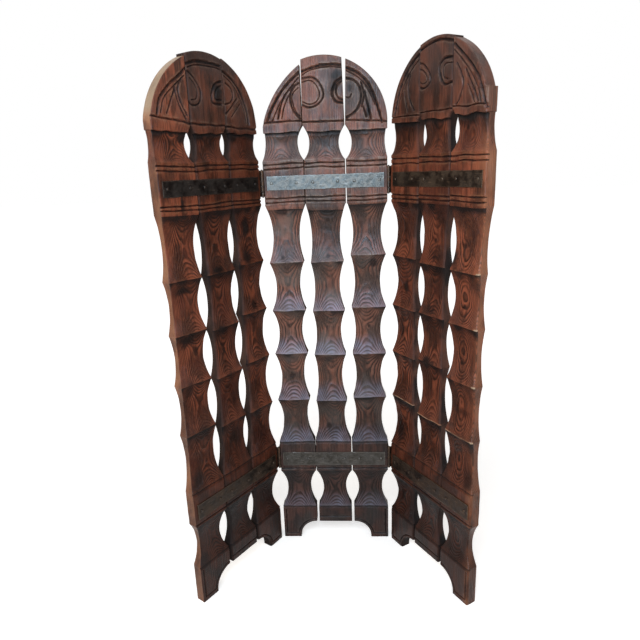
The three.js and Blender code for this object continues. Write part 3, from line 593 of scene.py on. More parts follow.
# %% Where each plank was sawn, and its knots
# Pith as (to the right of the plank's middle, in front of the face), then knots as (x, height, radius)
LOGS = {
    ("centre", 0): ((-4, 62), [(-3, 1332, 13), (-8, 711, 13), (-18, 1170, 8)]),
    ("centre", 1): ((4, 56), [(4, 1300, 9), (2, 1172, 9), (-14, 500, 12)]),
    ("centre", 2): ((-6, 64), [(18, 1144, 17), (2, 905, 7)]),
    ("left_wing", 0): ((14, 68), [(36, 1577, 15), (18, 620, 9)]),
    ("left_wing", 1): ((-6, 58), [(-23, 966, 10), (0, 1585, 9)]),
    ("left_wing", 2): ((6, 56), [(-4, 1292, 15), (8, 1014, 19), (-35, 1582, 17)]),
    ("right_wing", 0): ((-8, 70), [(-4, 1065, 14), (12, 1745, 8)]),
    ("right_wing", 1): ((8, 60), [(-22, 823, 18), (0, 1240, 8)]),
    ("right_wing", 2): ((-4, -62), [(-14, 1572, 8), (-10, 1235, 9), (-6, 1050, 7), (-10, 865, 7)]),
}
# Each plank comes from its own stretch of timber, this many metres from the last one's
LOG_SPACING = 4.0
# The middle panel's timber grew faster, so its rings are wider
GROWTH = {"centre": 1.3, "left_wing": 1.0, "right_wing": 1.1}


def log_position(panel, plank, x, y, z):
    """Each point's place relative to the pith, swirled round the knots, and how deep in a knot it lies."""
    (pith_x, pith_front), knots = LOGS[panel, plank]
    across, through = x - middle_x(plank) - pith_x, y + pith_front
    index = list(LOGS).index((panel, plank))
    knot = np.zeros_like(x)
    swirl = np.ones_like(x)
    for knot_x, height, radius in knots:
        away = np.hypot(x - middle_x(plank) - knot_x, (z - height) * 0.8)
        knot = np.maximum(knot, np.clip(1.25 - away / radius, 0, 1))
        swirl += 0.085 * radius / 12 * np.exp(-((away / (2.1 * radius)) ** 2))
    swirl = swirl / GROWTH[panel]
    place = np.stack([across * swirl, through * swirl, z + index * LOG_SPACING / MM], -1)
    return place * MM, knot


print("Knots:", sum(len(knots) for _, knots in LOGS.values()))

# %% [markdown]
# ## Stain, painted shade and bare wood
# The stain was put on by hand and gathered under every ridge; the near-black there is partly that stain and
# partly painted shade, which also lies under the ledges and in the gaps between planks. Towards the floor the
# planks are darker still. A few patches were noted plank by plank, and the bare outer edges have been rubbed
# by hands, most of all on the left panel. The bluish colour low in each scoop is a painted sheen.

# %% Where the wood is dark
# Dark patches as (from the plank's middle, height, half width, half height, strength)
PATCHES = {
    ("centre", 0): [(0, 1575, 50, 16, 0.5), (34, 842, 16, 14, 0.4)],
    ("centre", 1): [(0, 1250, 70, 80, 0.5), (45, 1768, 26, 26, 0.9), (38, 1735, 16, 22, 0.8),
                    (-10, 1566, 40, 24, 0.6), (0, 480, 40, 40, 0.4)],
    ("centre", 2): [(8, 1655, 10, 36, 0.9), (20, 1144, 22, 20, 0.8), (-52, 1726, 14, 22, 0.7),
                    (30, 1560, 20, 20, 0.3)],
    ("left_wing", 0): [(-8, 1122, 46, 20, 0.9), (-20, 963, 40, 28, 0.9), (-30, 800, 30, 40, 0.8),
                       (38, 1577, 22, 18, 1), (8, 1385, 8, 34, 0.9), (0, 620, 60, 40, 0.7), (-30, 470, 40, 30, 0.6),
                       (30, 1300, 30, 40, 0.4)],
    ("left_wing", 1): [(46, 1712, 26, 40, 0.95), (-15, 1166, 34, 16, 0.9), (-23, 966, 24, 18, 0.8),
                       (10, 790, 44, 20, 0.7), (20, 560, 50, 60, 0.6), (-10, 1340, 50, 18, 0.8),
                       (-30, 1500, 30, 14, 0.5)],
    ("left_wing", 2): [(-4, 1292, 22, 50, 0.95), (-16, 1190, 22, 40, 0.9), (-58, 1163, 16, 18, 0.9),
                       (-58, 811, 18, 24, 0.9), (-36, 1582, 28, 18, 1), (20, 1420, 50, 30, 0.5),
                       (0, 500, 50, 50, 0.5)],
    ("right_wing", 0): [(-4, 1065, 20, 26, 0.8), (-26, 911, 14, 70, 0.7), (-50, 1143, 24, 30, 0.7),
                        (-30, 500, 20, 60, 0.7), (0, 1240, 30, 30, 0.5)],
    ("right_wing", 1): [(-60, 1345, 14, 32, 1), (-20, 823, 34, 30, 0.9), (-10, 1010, 40, 22, 0.6),
                        (10, 1190, 40, 20, 0.5)],
    ("right_wing", 2): [(-52, 1198, 18, 26, 0.9), (0, 700, 50, 18, 0.6), (-10, 610, 60, 14, 0.6),
                        (40, 470, 30, 40, 0.6)],
}
# How light each plank is
TONES = {
    "centre": [1.08, 1.0, 0.95],
    "left_wing": [0.66, 0.45, 0.50],
    "right_wing": [0.64, 0.62, 0.72],
}

# Most planks are also lighter or darker on the way up, by these factors at these heights
DRIFT_HEIGHTS = [440, 900, 1250, 1590, 1640]
DRIFTS = {
    ("centre", 0): [1.2, 1.0, 0.95, 0.8, 1.0],
    ("centre", 1): [1.0, 1.0, 0.8, 0.9, 1.0],
    ("centre", 2): [1.0, 0.95, 0.85, 1.15, 0.9],
    ("left_wing", 1): [1.1, 1.0, 0.8, 0.95, 1.0],
    ("left_wing", 2): [1.35, 1.0, 0.72, 0.75, 1.05],
    ("right_wing", 0): [1.15, 1.0, 0.85, 1.0, 0.8],
    ("right_wing", 1): [1.2, 0.85, 0.8, 1.05, 0.8],
    ("right_wing", 2): [1.05, 0.85, 1.2, 1.0, 0.9],
}


# Painted shade below a ledge, partly stain gathered there, as (strength, the height over which it fades)
NEAR_SHADE, FAR_SHADE = (0.55, 14), (0.6, 60)


def stain_and_shade_of(panel, plank, x, z, seed):
    """How dark each point of the face is, from 0 to 1: painted shade under every ridge and ledge, partly stain
    gathered there, and the listed dark patches.
    """
    strip = STRIPS.get((panel, plank), 0)
    ledges = [*ridge_heights(panel, plank), UPPER_BAND[0] - strip, LIP_BOTTOM, LOWER_BAND[0]]
    below = np.array(ledges) - z[..., None]
    near, far = (strength * np.exp(-below / fade) for strength, fade in (NEAR_SHADE, FAR_SHADE))
    shade_and_stain = np.where(below > 0, near + far, 0).max(-1)
    shade_and_stain *= (1 if panel == "centre" else 1.35) * (0.7 + 0.45 * unevenness(x, z, 26, seed + 14))
    ragged = 1 + 0.3 * unevenness(x, z, 17, seed + 15) + 0.25 * unevenness(x, z, 7, seed + 16)
    for across, height, wide, tall, strength in PATCHES[panel, plank]:
        away = np.hypot((x - middle_x(plank) - across) / wide, (z - height) / tall) * ragged
        shade_and_stain = np.maximum(shade_and_stain, strength * (1 - smooth_step(0.2, 1.35, away)))
    return shade_and_stain


def tone_of(panel, plank, z):
    """How light the wood is: each plank has its own factor, which drifts up its height, and all are darker near the
    floor.
    """
    above_floor = smooth_step(260, 960, z) if panel == "centre" else smooth_step(180, 860, z)
    dome = 0.15 * smooth_step(1590, 1640, z) * (-1 if (panel, plank) == ("left_wing", 0) else 1.4)
    uneven = np.interp(z, DRIFT_HEIGHTS, DRIFTS.get((panel, plank), [1] * len(DRIFT_HEIGHTS)))
    lowest = 0.22 if panel == "centre" else 0.17
    return TONES[panel][plank] * (lowest + (1 - lowest) * above_floor) * (1 - dome) * uneven


def warmth_of(panel, plank, z):
    """How red the wood is: the side panels' most of all, though less at their domes."""
    dome = smooth_step(1560, 1640, z)
    if panel == "centre":
        return (0.45, 0.15, 0.1)[plank] * dome
    return 1 - (0.25 if (panel, plank) == ("left_wing", 0) else 0.5) * dome


# How strong the painted sheen is in the lower neck, in the five bays from below and in the upper neck
SHEEN_STRENGTHS = (0.9, 1.1, 1.0, 1.0, 0.8, 0.2, 0.15)


def painted_sheen_of(panel, plank, x, z, seed):
    """How much painted sheen, a painted reflection of a window, lies at each point: most on the slope at the bottom
    of a scoop, which faces up.
    """
    ends = bay_ends(panel, plank)
    scoops = [(FOOT_TOP, LOWER_BAND[0]), *zip(ends, ends[1:]), (UPPER_BAND[1], LIP_BOTTOM)]
    painted_sheen = np.zeros_like(z)
    for (bottom, top), strength in zip(scoops, SHEEN_STRENGTHS):
        t = (z - bottom) / (top - bottom)
        painted_sheen = np.where((t >= 0) & (t < 1), strength * (1 - smooth_step(0.08, 0.44, t)), painted_sheen)
    painted_sheen = painted_sheen * (0.85 + 0.35 * unevenness(x, z, 34, seed + 18)) * (1.0 if panel == "centre" else 0.25)
    return painted_sheen + (0.1 * (1 - smooth_step(380, 500, z)) if panel == "centre" else 0)


print("Stain in the middle of a scoop:", stain_and_shade_of("centre", 1, np.array([0.0]), np.array([900.0]), 15).round(2))

# %% The skin of a plank
ARRIS, BACK_ARRIS, WIDE_ARRIS = 2.2, 1.6, 6.0
# The side panels' planks have one broad worn arris, on the side that faces outwards
BROAD_SIDE = {"left_wing": -1, "right_wing": 1}
FRONT_COLUMNS = np.unique(np.concatenate([[0, 0.5, 1.3, 2.4, 4.0], np.linspace(5.5, PLANK_WIDTH - 5.5, 90),
                                          PLANK_WIDTH - np.array([4.0, 2.4, 1.3, 0.5, 0])])) / PLANK_WIDTH
WALL_COLUMNS = np.array([0.04, 0.12, 0.26, 0.42, 0.58, 0.74, 0.88])
BACK_COLUMNS = np.linspace(0, 1, 15)


def rounding(away, radius):
    """How far a rounded corner lies behind the flat at a distance from the edge."""
    left = np.clip(radius - away, 0, radius)
    return radius - np.sqrt(np.maximum(radius**2 - left**2, 0))


# How pale a chip is, how high it reaches along a ridge, and how much higher at the ridge's outer end
CHIP, CHIP_HEIGHT, END_CHIP = 2.4, 2.2, 3.0


def fresh_wood(panel, plank, x, z):
    """Where the right panel is chipped to pale wood along its ridges, and rubbed along its outer edge."""
    chips = np.zeros_like(x)
    if panel != "right_wing":
        return chips
    for i, ridge in enumerate(ridge_heights(panel, plank)):
        at_end = smooth_step(PANEL_WIDTH / 2 - 30, PANEL_WIDTH / 2 - 20, x)
        along = 0.75 + 0.35 * unevenness(x, x, 22, 40 + plank) if i == 0 else 0
        size = CHIP_HEIGHT + END_CHIP * at_end
        chips = np.maximum(chips, np.exp(-(((z - ridge) / size) ** 2)) * np.maximum(along, at_end))
    rubbed = 0.6 * np.exp(-np.maximum(PANEL_WIDTH / 2 - 12 - x, 0) / 13) * (0.9 + 0.3 * unevenness(x, z, 30, 44))
    return np.maximum(CHIP * chips, rubbed * (plank == 2) * (z < LIP_BOTTOM))


# How bare the side panels' outward edges are, as heights and their values: 1 is rubbed to tan, 2 is cream, which at
# the left panel's dome edge is a painted highlight over bare wood
BARENESS = {
    "left_wing": ([0, 400, 1480, 1520, 1590, 1620, 1660], [0.75, 0.95, 0.85, 0.05, 0.05, 1.2, 1.8]),
    "right_wing": ([0, 1500, 1530, 1590, 1600, SHOULDER, SHOULDER + 6], [0.35, 0.6, 0.1, 0.1, 0.2, 0.2, 0.05]),
}
PLAIN_EDGE, PLAIN_BACK, BACK_STAIN = 0.15, 0.25, 0.15


def edge_bareness(panel, z):
    return np.interp(z, *BARENESS[panel])


def plank_grid(panel, plank, seed):
    """The points of a plank's skin as rows and columns, with a mask array for each stored quality."""
    left, right, bulge = boundary_rows(panel, plank)
    width = (right[:, 0] - left[:, 0])[:, None]
    top = top_curve(panel, plank)
    lift = np.interp(FRONT_COLUMNS, (top[:, 0] - top[0, 0]) / np.ptp(top[:, 0]),
                     top[:, 1] - np.interp(top[:, 0], [top[0, 0], top[-1, 0]], [top[0, 1], top[-1, 1]]))

    def across(shares, lifts):
        x = left[:, :1] + width * shares
        z = left[:, 1:] + (right[:, 1:] - left[:, 1:]) * shares + bulge[:, None] * lifts
        return x, z

    x, z = across(FRONT_COLUMNS, lift)
    depth, recess, wear_and_crest_shine = face_depth(panel, plank, x, z, seed)
    from_left, from_right = width * FRONT_COLUMNS, width * (1 - FRONT_COLUMNS)
    from_top = np.where(z > DOME_BASE, 0.8 * (np.interp(x, top[:, 0], top[:, 1]) - z), np.inf)
    uneven = 1 + 0.35 * unevenness(x, z, 30, seed + 7)
    broad, y = BROAD_SIDE.get(panel, 0), depth
    for sign, away in ((-1, from_left), (1, from_right), (0, from_top)):
        wide = sign == broad and sign and not at_side(plank, sign)
        broader = wide or (panel == "right_wing" and plank == 2 and sign == 1)
        y = np.maximum(y, depth + rounding(away, (WIDE_ARRIS if broader else ARRIS) * uneven))
        if wide:
            # The broad arris beside a seam is painted dark grey as shade from the gap
            seam_shade = np.exp(-((away / WIDE_ARRIS) ** 2))
    edges = np.minimum(from_left if broad >= 0 else np.inf, from_right if broad <= 0 else np.inf)
    wear_and_crest_shine = np.maximum(wear_and_crest_shine, 0.45 * np.exp(-np.minimum(edges, from_top) / 1.6))
    nothing = np.zeros_like(x)
    seam = seam_shade * 0.5 if broad and not at_side(plank, broad) else nothing
    columns = [(x, y, z, recess, wear_and_crest_shine, fresh_wood(panel, plank, x, z), seam, stain_and_shade_of(panel, plank, x, z, seed),
                painted_sheen_of(panel, plank, x, z, seed))]

    def wall(share, sign):
        side = 0 if share == 0 else -1
        corner_y, shares = y[:, [side]], np.append(WALL_COLUMNS, 1)
        wx = np.repeat(left[:, :1] + width * share, len(shares), 1)
        wz = np.repeat(z[:, [side]], len(shares), 1)
        wy = corner_y + (PLANK_THICKNESS - BACK_ARRIS - corner_y) * shares
        wx = wx - sign * 0.25 * (1 + unevenness(wy, wz, 9, seed + 9))
        edge = 0.6 * np.exp(-np.minimum(wy - corner_y, PLANK_THICKNESS - wy) / 2.0)
        outward = at_side(plank, sign)
        bare = edge_bareness(panel, wz) if outward and panel != "centre" else np.full_like(wx, PLAIN_EDGE)
        # Walls in the gaps between planks are painted dark as shade, darkest on the right panel; outward walls less
        seam_shade = np.zeros_like(wx) if outward else np.full_like(wx, 0.5 if panel == "right_wing" else 1.0)
        wall_shade = 0.6 if outward else 1.5 if panel == "right_wing" else 0.8
        dark = 0.35 * (1 + unevenness(wy, wz, 40, seed + 17)) * wall_shade
        return wx, wy, wz, np.zeros_like(wx), edge, bare, seam_shade, dark, np.zeros_like(wx)

    back_lift = np.interp(BACK_COLUMNS, FRONT_COLUMNS, lift)
    bx, bz = across(BACK_COLUMNS, back_lift)
    inward = np.clip(BACK_ARRIS / width, 0, 0.3) * (1 - 2 * BACK_COLUMNS) * (np.abs(1 - 2 * BACK_COLUMNS) > 0.99)
    bx = bx + width * inward
    plain = np.zeros_like(bx)
    back = (bx, plain + PLANK_THICKNESS, bz, plain, plain, plain + PLAIN_BACK, plain, plain + BACK_STAIN, plain)
    columns += [wall(1, 1), tuple(a[:, ::-1] for a in back), tuple(a[:, ::-1] for a in wall(0, -1))]
    grid = [np.concatenate(parts, 1) for parts in zip(*columns)]
    grid[2] = grid[2] + shift_of(panel, plank, grid[0], grid[2], seed)
    return grid


grid = plank_grid("centre", 0, 5)
print("Points of a plank:", grid[0].size, "in", grid[0].shape, "rows and columns")

# %% Faces of the skin and its two ends
def skin_faces(rows, columns):
    here = np.arange(rows * columns).reshape(rows, columns)
    beside = np.roll(here, -1, 1)
    return np.stack([here[:-1], beside[:-1], beside[1:], here[1:]], -1).reshape(-1, 4)


def end_faces(first, columns):
    """Faces that close an end row, each joining a few front columns to one stretch of the back."""
    fronts, backs, walls = len(FRONT_COLUMNS), len(BACK_COLUMNS), len(WALL_COLUMNS) + 1
    back_start = fronts + walls
    back = [first + back_start + backs - 1 - j for j in range(backs)]
    split = [int(np.argmin(abs(FRONT_COLUMNS - share))) for share in BACK_COLUMNS]
    faces = []
    for j in range(backs - 1):
        front = [first + i for i in range(split[j], split[j + 1] + 1)]
        right = [first + fronts + i for i in range(walls)] if j == backs - 2 else []
        left = [first + back_start + backs + i for i in range(walls)] if j == 0 else []
        faces.append([*front, *right, back[j + 1], back[j], *left])
    return faces


print("End faces:", len(end_faces(0, grid[0].shape[1])))

# %% [markdown]
# ## Building materials from nodes
# Every finish below is procedural: it is computed from each point's place on the piece, so it follows the
# surface in any view. Two small helpers keep the recipes short. One adds a node and feeds its inputs, and the
# other fades smoothly between two values.

# %% Helpers for nodes
def node(tree, kind, inputs=None, **settings):
    """Add a node, make its settings, and feed its inputs with values or with other nodes' outputs."""
    made = tree.nodes.new("ShaderNode" + kind)
    for setting, value in settings.items():
        setattr(made, setting, value)
    for socket, source in (inputs or {}).items():
        if isinstance(source, bpy.types.NodeSocket):
            tree.links.new(source, made.inputs[socket])
        else:
            made.inputs[socket].default_value = source
    return made


def sum_of(tree, operation, first, second=0.0, clamp=False):
    return node(tree, "Math", {0: first, 1: second}, operation=operation, use_clamp=clamp).outputs[0]


def fade(tree, value, low, high, first=0.0, last=1.0):
    """Goes smoothly from first to last as value goes from low to high."""
    inputs = {"Value": value, "From Min": low, "From Max": high, "To Min": first, "To Max": last}
    return node(tree, "MapRange", inputs, interpolation_type="SMOOTHSTEP").outputs["Result"]


def opaque(colour):
    """A colour written as red, green and blue gets its fourth number, and a node's output stays as it is."""
    return (*colour, 1) if isinstance(colour, tuple) else colour


def colour_mix(tree, share, first, second):
    return node(tree, "Mix", {0: share, 6: opaque(first), 7: opaque(second)}, data_type="RGBA").outputs[2]


def noise(tree, place, scale, detail=2.0, stretch=None, roughness=0.5):
    """Cloudy noise per metre, squeezed along some axes if stretch is given."""
    if stretch is not None:
        place = node(tree, "VectorMath", {0: place, 1: stretch}, operation="MULTIPLY").outputs[0]
    inputs = {"Vector": place, "Scale": scale, "Detail": detail, "Roughness": roughness}
    return node(tree, "TexNoise", inputs).outputs["Fac"]


def new_material(name):
    material = bpy.data.materials.new(name)
    material.use_nodes = True
    return material, material.node_tree, material.node_tree.nodes["Principled BSDF"]


print("Helpers ready")

# %% [markdown]
# ## Stained pine
# The planks are knotty pine under a dark reddish stain and a worn wax shine. The rings are drawn from the
# stored place in the log: the distance from the pith, counted in growth rings, gives pale springwood that
# drinks the stain and hard dark latewood that stands a little proud. On top come long fibres, blotches where
# the stain took unevenly, stain and painted shade under the ridges, a painted bluish sheen low in the scoops,
# cuts painted near black as shade, ridges rubbed and partly painted as highlights, and the lighter outer
# edges. The side panels' wood is redder than the middle panel's, so each plank stores how warm it is.

# %% Rings and fibres
RING_WIDTH = 0.0030
pine, tree, pine_shader = new_material("stained_pine")
log_place = node(tree, "Attribute", attribute_name="log").outputs["Vector"]
masks = {name: node(tree, "Attribute", attribute_name=name).outputs["Fac"]
         for name in ("recess", "wear", "bare", "knot", "seam", "stain_and_shade", "painted_sheen", "tone", "warm", "figure")}

axis_free = node(tree, "VectorMath", {0: log_place, 1: (1, 1, 0)}, operation="MULTIPLY").outputs[0]
from_pith = node(tree, "VectorMath", {0: axis_free}, operation="LENGTH").outputs["Value"]
drift = noise(tree, log_place, 14.0, 2.0, (1, 1, 0.35))
wobble = sum_of(tree, "MULTIPLY", sum_of(tree, "SUBTRACT", drift, 0.5), 2.2)
ring_count = sum_of(tree, "ADD", sum_of(tree, "DIVIDE", from_pith, RING_WIDTH), wobble)
phase = sum_of(tree, "FRACT", ring_count)
latewood = sum_of(tree, "MULTIPLY", fade(tree, phase, 0.2, 0.72), fade(tree, phase, 0.84, 1.0, 1.0, 0.0))
ring_strength = fade(tree, noise(tree, log_place, 22.0, 1.0, (1, 1, 0.5)), 0.3, 0.6, 0.6, 1.0)
latewood = sum_of(tree, "MULTIPLY", latewood, sum_of(tree, "MULTIPLY", ring_strength, masks["figure"]))
fibres = noise(tree, log_place, 800.0, 3.0, (1, 1, 0.03), 0.6)
pores = fade(tree, noise(tree, log_place, 2000.0, 2.0, (1, 1, 0.04)), 0.6, 0.72)
blotches = noise(tree, log_place, 16.0, 4.0, (1, 1, 0.5), 0.6)
streaks = noise(tree, log_place, 70.0, 4.0, (1, 1, 0.07), 0.6)
print("Rings every", RING_WIDTH / MM, "mm")

# %% Colour of the stained wood
def warmed(cool, warm):
    """A colour between the middle panel's and the side panels'."""
    return colour_mix(tree, masks["warm"], cool, warm)


def share_of(first, second):
    return sum_of(tree, "MULTIPLY", first, second, True)


def lie_over(colour, *layers):
    """Lay colours one over another, each through its own mask."""
    for mask, layer in layers:
        colour = colour_mix(tree, mask, colour, layer)
    return colour


# CUT_SHADE is painted shade, laid in the carved lines and in the undercuts below the ledges
PORE, KNOT_RING, CUT_SHADE = (0.008, 0.005, 0.004), (0.030, 0.013, 0.009), (0.0045, 0.0032, 0.0028)
TAN, CREAM = (0.360, 0.165, 0.085), (0.480, 0.360, 0.250)
hue_drift = noise(tree, log_place, 12.0, 2.0, (1, 1, 0.6))
rub_and_crest_shine = share_of(masks["wear"], fade(tree, noise(tree, log_place, 60.0, 4.0), 0.4, 0.6))
shade_and_stain_share = share_of(fade(tree, masks["stain_and_shade"], 0.0, 1.0, 0.0, 0.95), fade(tree, blotches, 0.1, 0.5, 0.7, 1.0))
latewood_dim = fade(tree, latewood, 0.0, 0.7, 1.0, 0.2)
sheen_dim = sum_of(tree, "MULTIPLY", latewood_dim, fade(tree, streaks, 0.35, 0.6, 0.8, 0.5))
knot_rings = fade(tree, sum_of(tree, "PINGPONG", masks["knot"], 0.09), 0.0, 0.09)
uneven_cut_shade = fade(tree, noise(tree, log_place, 90.0, 3.0), 0.35, 0.65, 1.0, 0.6)
colour = lie_over(
    warmed((0.240, 0.098, 0.066), (0.345, 0.094, 0.048)),
    # Latewood, blotches, streaks and a drift of hue
    (latewood, warmed((0.022, 0.012, 0.010), (0.020, 0.0070, 0.0052))),
    (fade(tree, blotches, 0.43, 0.61, 0.0, 0.88), warmed((0.040, 0.028, 0.024), (0.034, 0.0115, 0.0080))),
    (fade(tree, streaks, 0.48, 0.66, 0.0, 0.7), warmed((0.038, 0.020, 0.016), (0.030, 0.0095, 0.0070))),
    (fade(tree, hue_drift, 0.5, 0.66, 0.0, 0.55), warmed((0.110, 0.105, 0.100), (0.105, 0.026, 0.017))),
    # Fibres and pores
    (share_of(fade(tree, fibres, 0.42, 0.75), 0.5), warmed((0.250, 0.150, 0.110), (0.330, 0.120, 0.055))),
    (share_of(pores, 0.7), PORE),
    # Painted shade in the seams and gaps between planks, bare wood and rubbed edges
    (share_of(masks["seam"], 0.8), warmed((0.030, 0.024, 0.022), (0.060, 0.047, 0.042))),
    (share_of(masks["bare"], fade(tree, blotches, 0.36, 0.62, 1.0, 0.25)), TAN),
    # Cream: pale chips on the right panel, and on the left panel's dome edge a painted highlight
    (fade(tree, masks["bare"], 1.1, 1.9, 0.0, 0.85), CREAM),
    # Rubbed ridges and edges, along the crests partly a painted highlight
    (share_of(rub_and_crest_shine, 0.75), warmed((0.330, 0.270, 0.230), (0.330, 0.150, 0.080))),
    # Stain and painted shade under the ridges, painted sheen, knots, and painted shade in the cuts
    (shade_and_stain_share, warmed((0.0075, 0.0070, 0.0070), (0.0075, 0.0042, 0.0036))),
    # Painted sheen: a painted bluish reflection of a window on the slopes that face up
    (share_of(masks["painted_sheen"], sheen_dim), warmed((0.270, 0.275, 0.390), (0.200, 0.110, 0.090))),
    (fade(tree, masks["knot"], 0.1, 0.9, 0.0, 0.9), colour_mix(tree, knot_rings, PORE, KNOT_RING)),
    # Painted shade in the cuts and undercuts, darker in some places than others
    (share_of(fade(tree, masks["recess"], 0.05, 0.8), uneven_cut_shade), CUT_SHADE),
)
toned = node(tree, "VectorMath", {0: colour, "Scale": masks["tone"]}, operation="SCALE").outputs[0]
tree.links.new(toned, pine_shader.inputs["Base Color"])
print("Colour layers ready")

# %% Shine and relief of the wood
dull = fade(tree, noise(tree, log_place, 45.0, 3.0, (1, 1, 0.3)), 0.3, 0.7, 0.30, 0.46)
for mask, share in ((masks["recess"], 0.35), (masks["stain_and_shade"], 0.1), (masks["seam"], 0.6), (latewood, -0.06)):
    dull = sum_of(tree, "ADD", dull, sum_of(tree, "MULTIPLY", mask, share), True)
tree.links.new(dull, pine_shader.inputs["Roughness"])
grain = sum_of(tree, "MULTIPLY", latewood, 0.85)
for mask, share in ((fibres, 0.3), (pores, -0.25)):
    grain = sum_of(tree, "ADD", grain, sum_of(tree, "MULTIPLY", mask, share))
bump = node(tree, "Bump", {"Height": grain, "Strength": 1.0, "Distance": 0.0008})
tree.links.new(bump.outputs["Normal"], pine_shader.inputs["Normal"])
pine_shader.inputs["Specular IOR Level"].default_value = 0.14
print("Roughness varies from about 0.30 to 0.46")

# %% [markdown]
# ## Turning a skin into a piece
# A piece is made from its points and faces and tied to the body that it moves with, and the node of the
# imported model that it replaces then stays hidden.

# %% Adding a piece
def add_piece(name, points, faces, place, panel, material, replaced=(), sharp_degrees=50):
    mesh = bpy.data.meshes.new(name)
    mesh.from_pydata((np.asarray(points, float) * MM).tolist(), [], faces)
    mesh.update()
    mesh.shade_smooth()
    mesh.set_sharp_from_angle(angle=math.radians(sharp_degrees))
    mesh.materials.append(material)
    piece = bpy.data.objects.new(name, mesh)
    bpy.context.scene.collection.objects.link(piece)
    piece.matrix_world = place
    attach(piece, BODIES[panel])
    if replaced:
        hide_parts(*replaced)
    return piece


def store(piece, name, values):
    kind, field = ("FLOAT_VECTOR", "vector") if name == "log" else ("FLOAT", "value")
    attribute = piece.data.attributes.new(name, kind, "POINT")
    attribute.data.foreach_set(field, np.asarray(values, np.float32).ravel())


# %% The nine planks
# Bare wood and the painted sheen lie over the stain, so they keep most of this lightness near the floor
OPEN_TONE = 0.8

for panel in BODIES:
    for plank, plank_name in enumerate(PLANK_NAMES[panel]):
        seed = 100 * list(BODIES).index(panel) + 10 * plank + 5
        x, y, z, recess, wear_and_crest_shine, bare, seam, stain_and_shade, painted_sheen = plank_grid(panel, plank, seed)
        rows, columns = x.shape
        faces = skin_faces(rows, columns).tolist() + end_faces((rows - 1) * columns, columns)
        faces += [face[::-1] for face in end_faces(0, columns)]
        node_name = f"{panel}_{plank_name}_plank"
        points = np.stack([x, y, z], -1).reshape(-1, 3)
        piece = add_piece("carved_" + node_name, points, faces, PLACES[panel], panel, pine,
                          [node_name])
        place, knot = log_position(panel, plank, x, y, z)
        tone = tone_of(panel, plank, z)
        tone += np.clip(OPEN_TONE - tone, 0, 1) * np.clip(0.8 * bare + 0.3 * painted_sheen, 0, 1)
        for name, values in (("recess", recess), ("wear", wear_and_crest_shine), ("bare", bare), ("knot", knot), ("seam", seam),
                             ("stain_and_shade", stain_and_shade), ("painted_sheen", painted_sheen), ("tone", tone),
                             ("warm", warmth_of(panel, plank, z)), ("figure", 0.45 + 0.55 * smooth_step(1, 6, y))):
            store(piece, name, values)
        store(piece, "log", place.reshape(-1, 3))
print("Faces of the last plank:", len(piece.data.polygons))

# %% [markdown]
# ## Blackened iron
# The straps, nails and hinges are thin forged iron, blackened and then rubbed. Hammering leaves shallow
# dents, and rust and old wax gather in patches. The same three effects serve all the iron, so they are kept as
# one node group with named inputs: a patina mask, a scratch mask and the height of the dents.

# %% The patina group
patina = bpy.data.node_groups.new("Forged iron patina", "ShaderNodeTree")
for name, kind in (("Place", "NodeSocketVector"), ("Patch size", "NodeSocketFloat"),
                   ("Scratches", "NodeSocketFloat")):
    patina.interface.new_socket(name, in_out="INPUT", socket_type=kind)
for name in ("Patches", "Scratch", "Pits", "Height"):
    patina.interface.new_socket(name, in_out="OUTPUT", socket_type="NodeSocketFloat")
given = patina.nodes.new("NodeGroupInput").outputs
scale = sum_of(patina, "DIVIDE", 1.0, given["Patch size"])
clouds = noise(patina, given["Place"], scale, 5.0, roughness=0.65)
patches = fade(patina, clouds, 0.38, 0.62)
fine = noise(patina, given["Place"], 420.0, 3.0)
streaks = noise(patina, given["Place"], 300.0, 2.0, (0.12, 1, 1))
scratch = sum_of(patina, "MULTIPLY", fade(patina, streaks, 0.6, 0.7), given["Scratches"])
pitted = fade(patina, noise(patina, given["Place"], 9.0, 1.0), 0.46, 0.60)
pits = sum_of(patina, "MULTIPLY", fade(patina, noise(patina, given["Place"], 330.0, 3.0), 0.52, 0.60), pitted)
dents = node(patina, "TexVoronoi", {"Vector": given["Place"], "Scale": 95.0, "Smoothness": 0.8},
             feature="SMOOTH_F1").outputs["Distance"]
height = sum_of(patina, "ADD", sum_of(patina, "MULTIPLY", dents, 0.7), sum_of(patina, "MULTIPLY", fine, 0.3))
result = patina.nodes.new("NodeGroupOutput")
for name, source in (("Patches", patches), ("Scratch", scratch), ("Pits", pits), ("Height", height)):
    patina.links.new(source, result.inputs[name])
print("Patina group outputs:", [socket.name for socket in result.inputs if socket.name])

# %% Iron finishes
PIT, DENT_DEPTH = (0.012, 0.012, 0.011), 0.0006


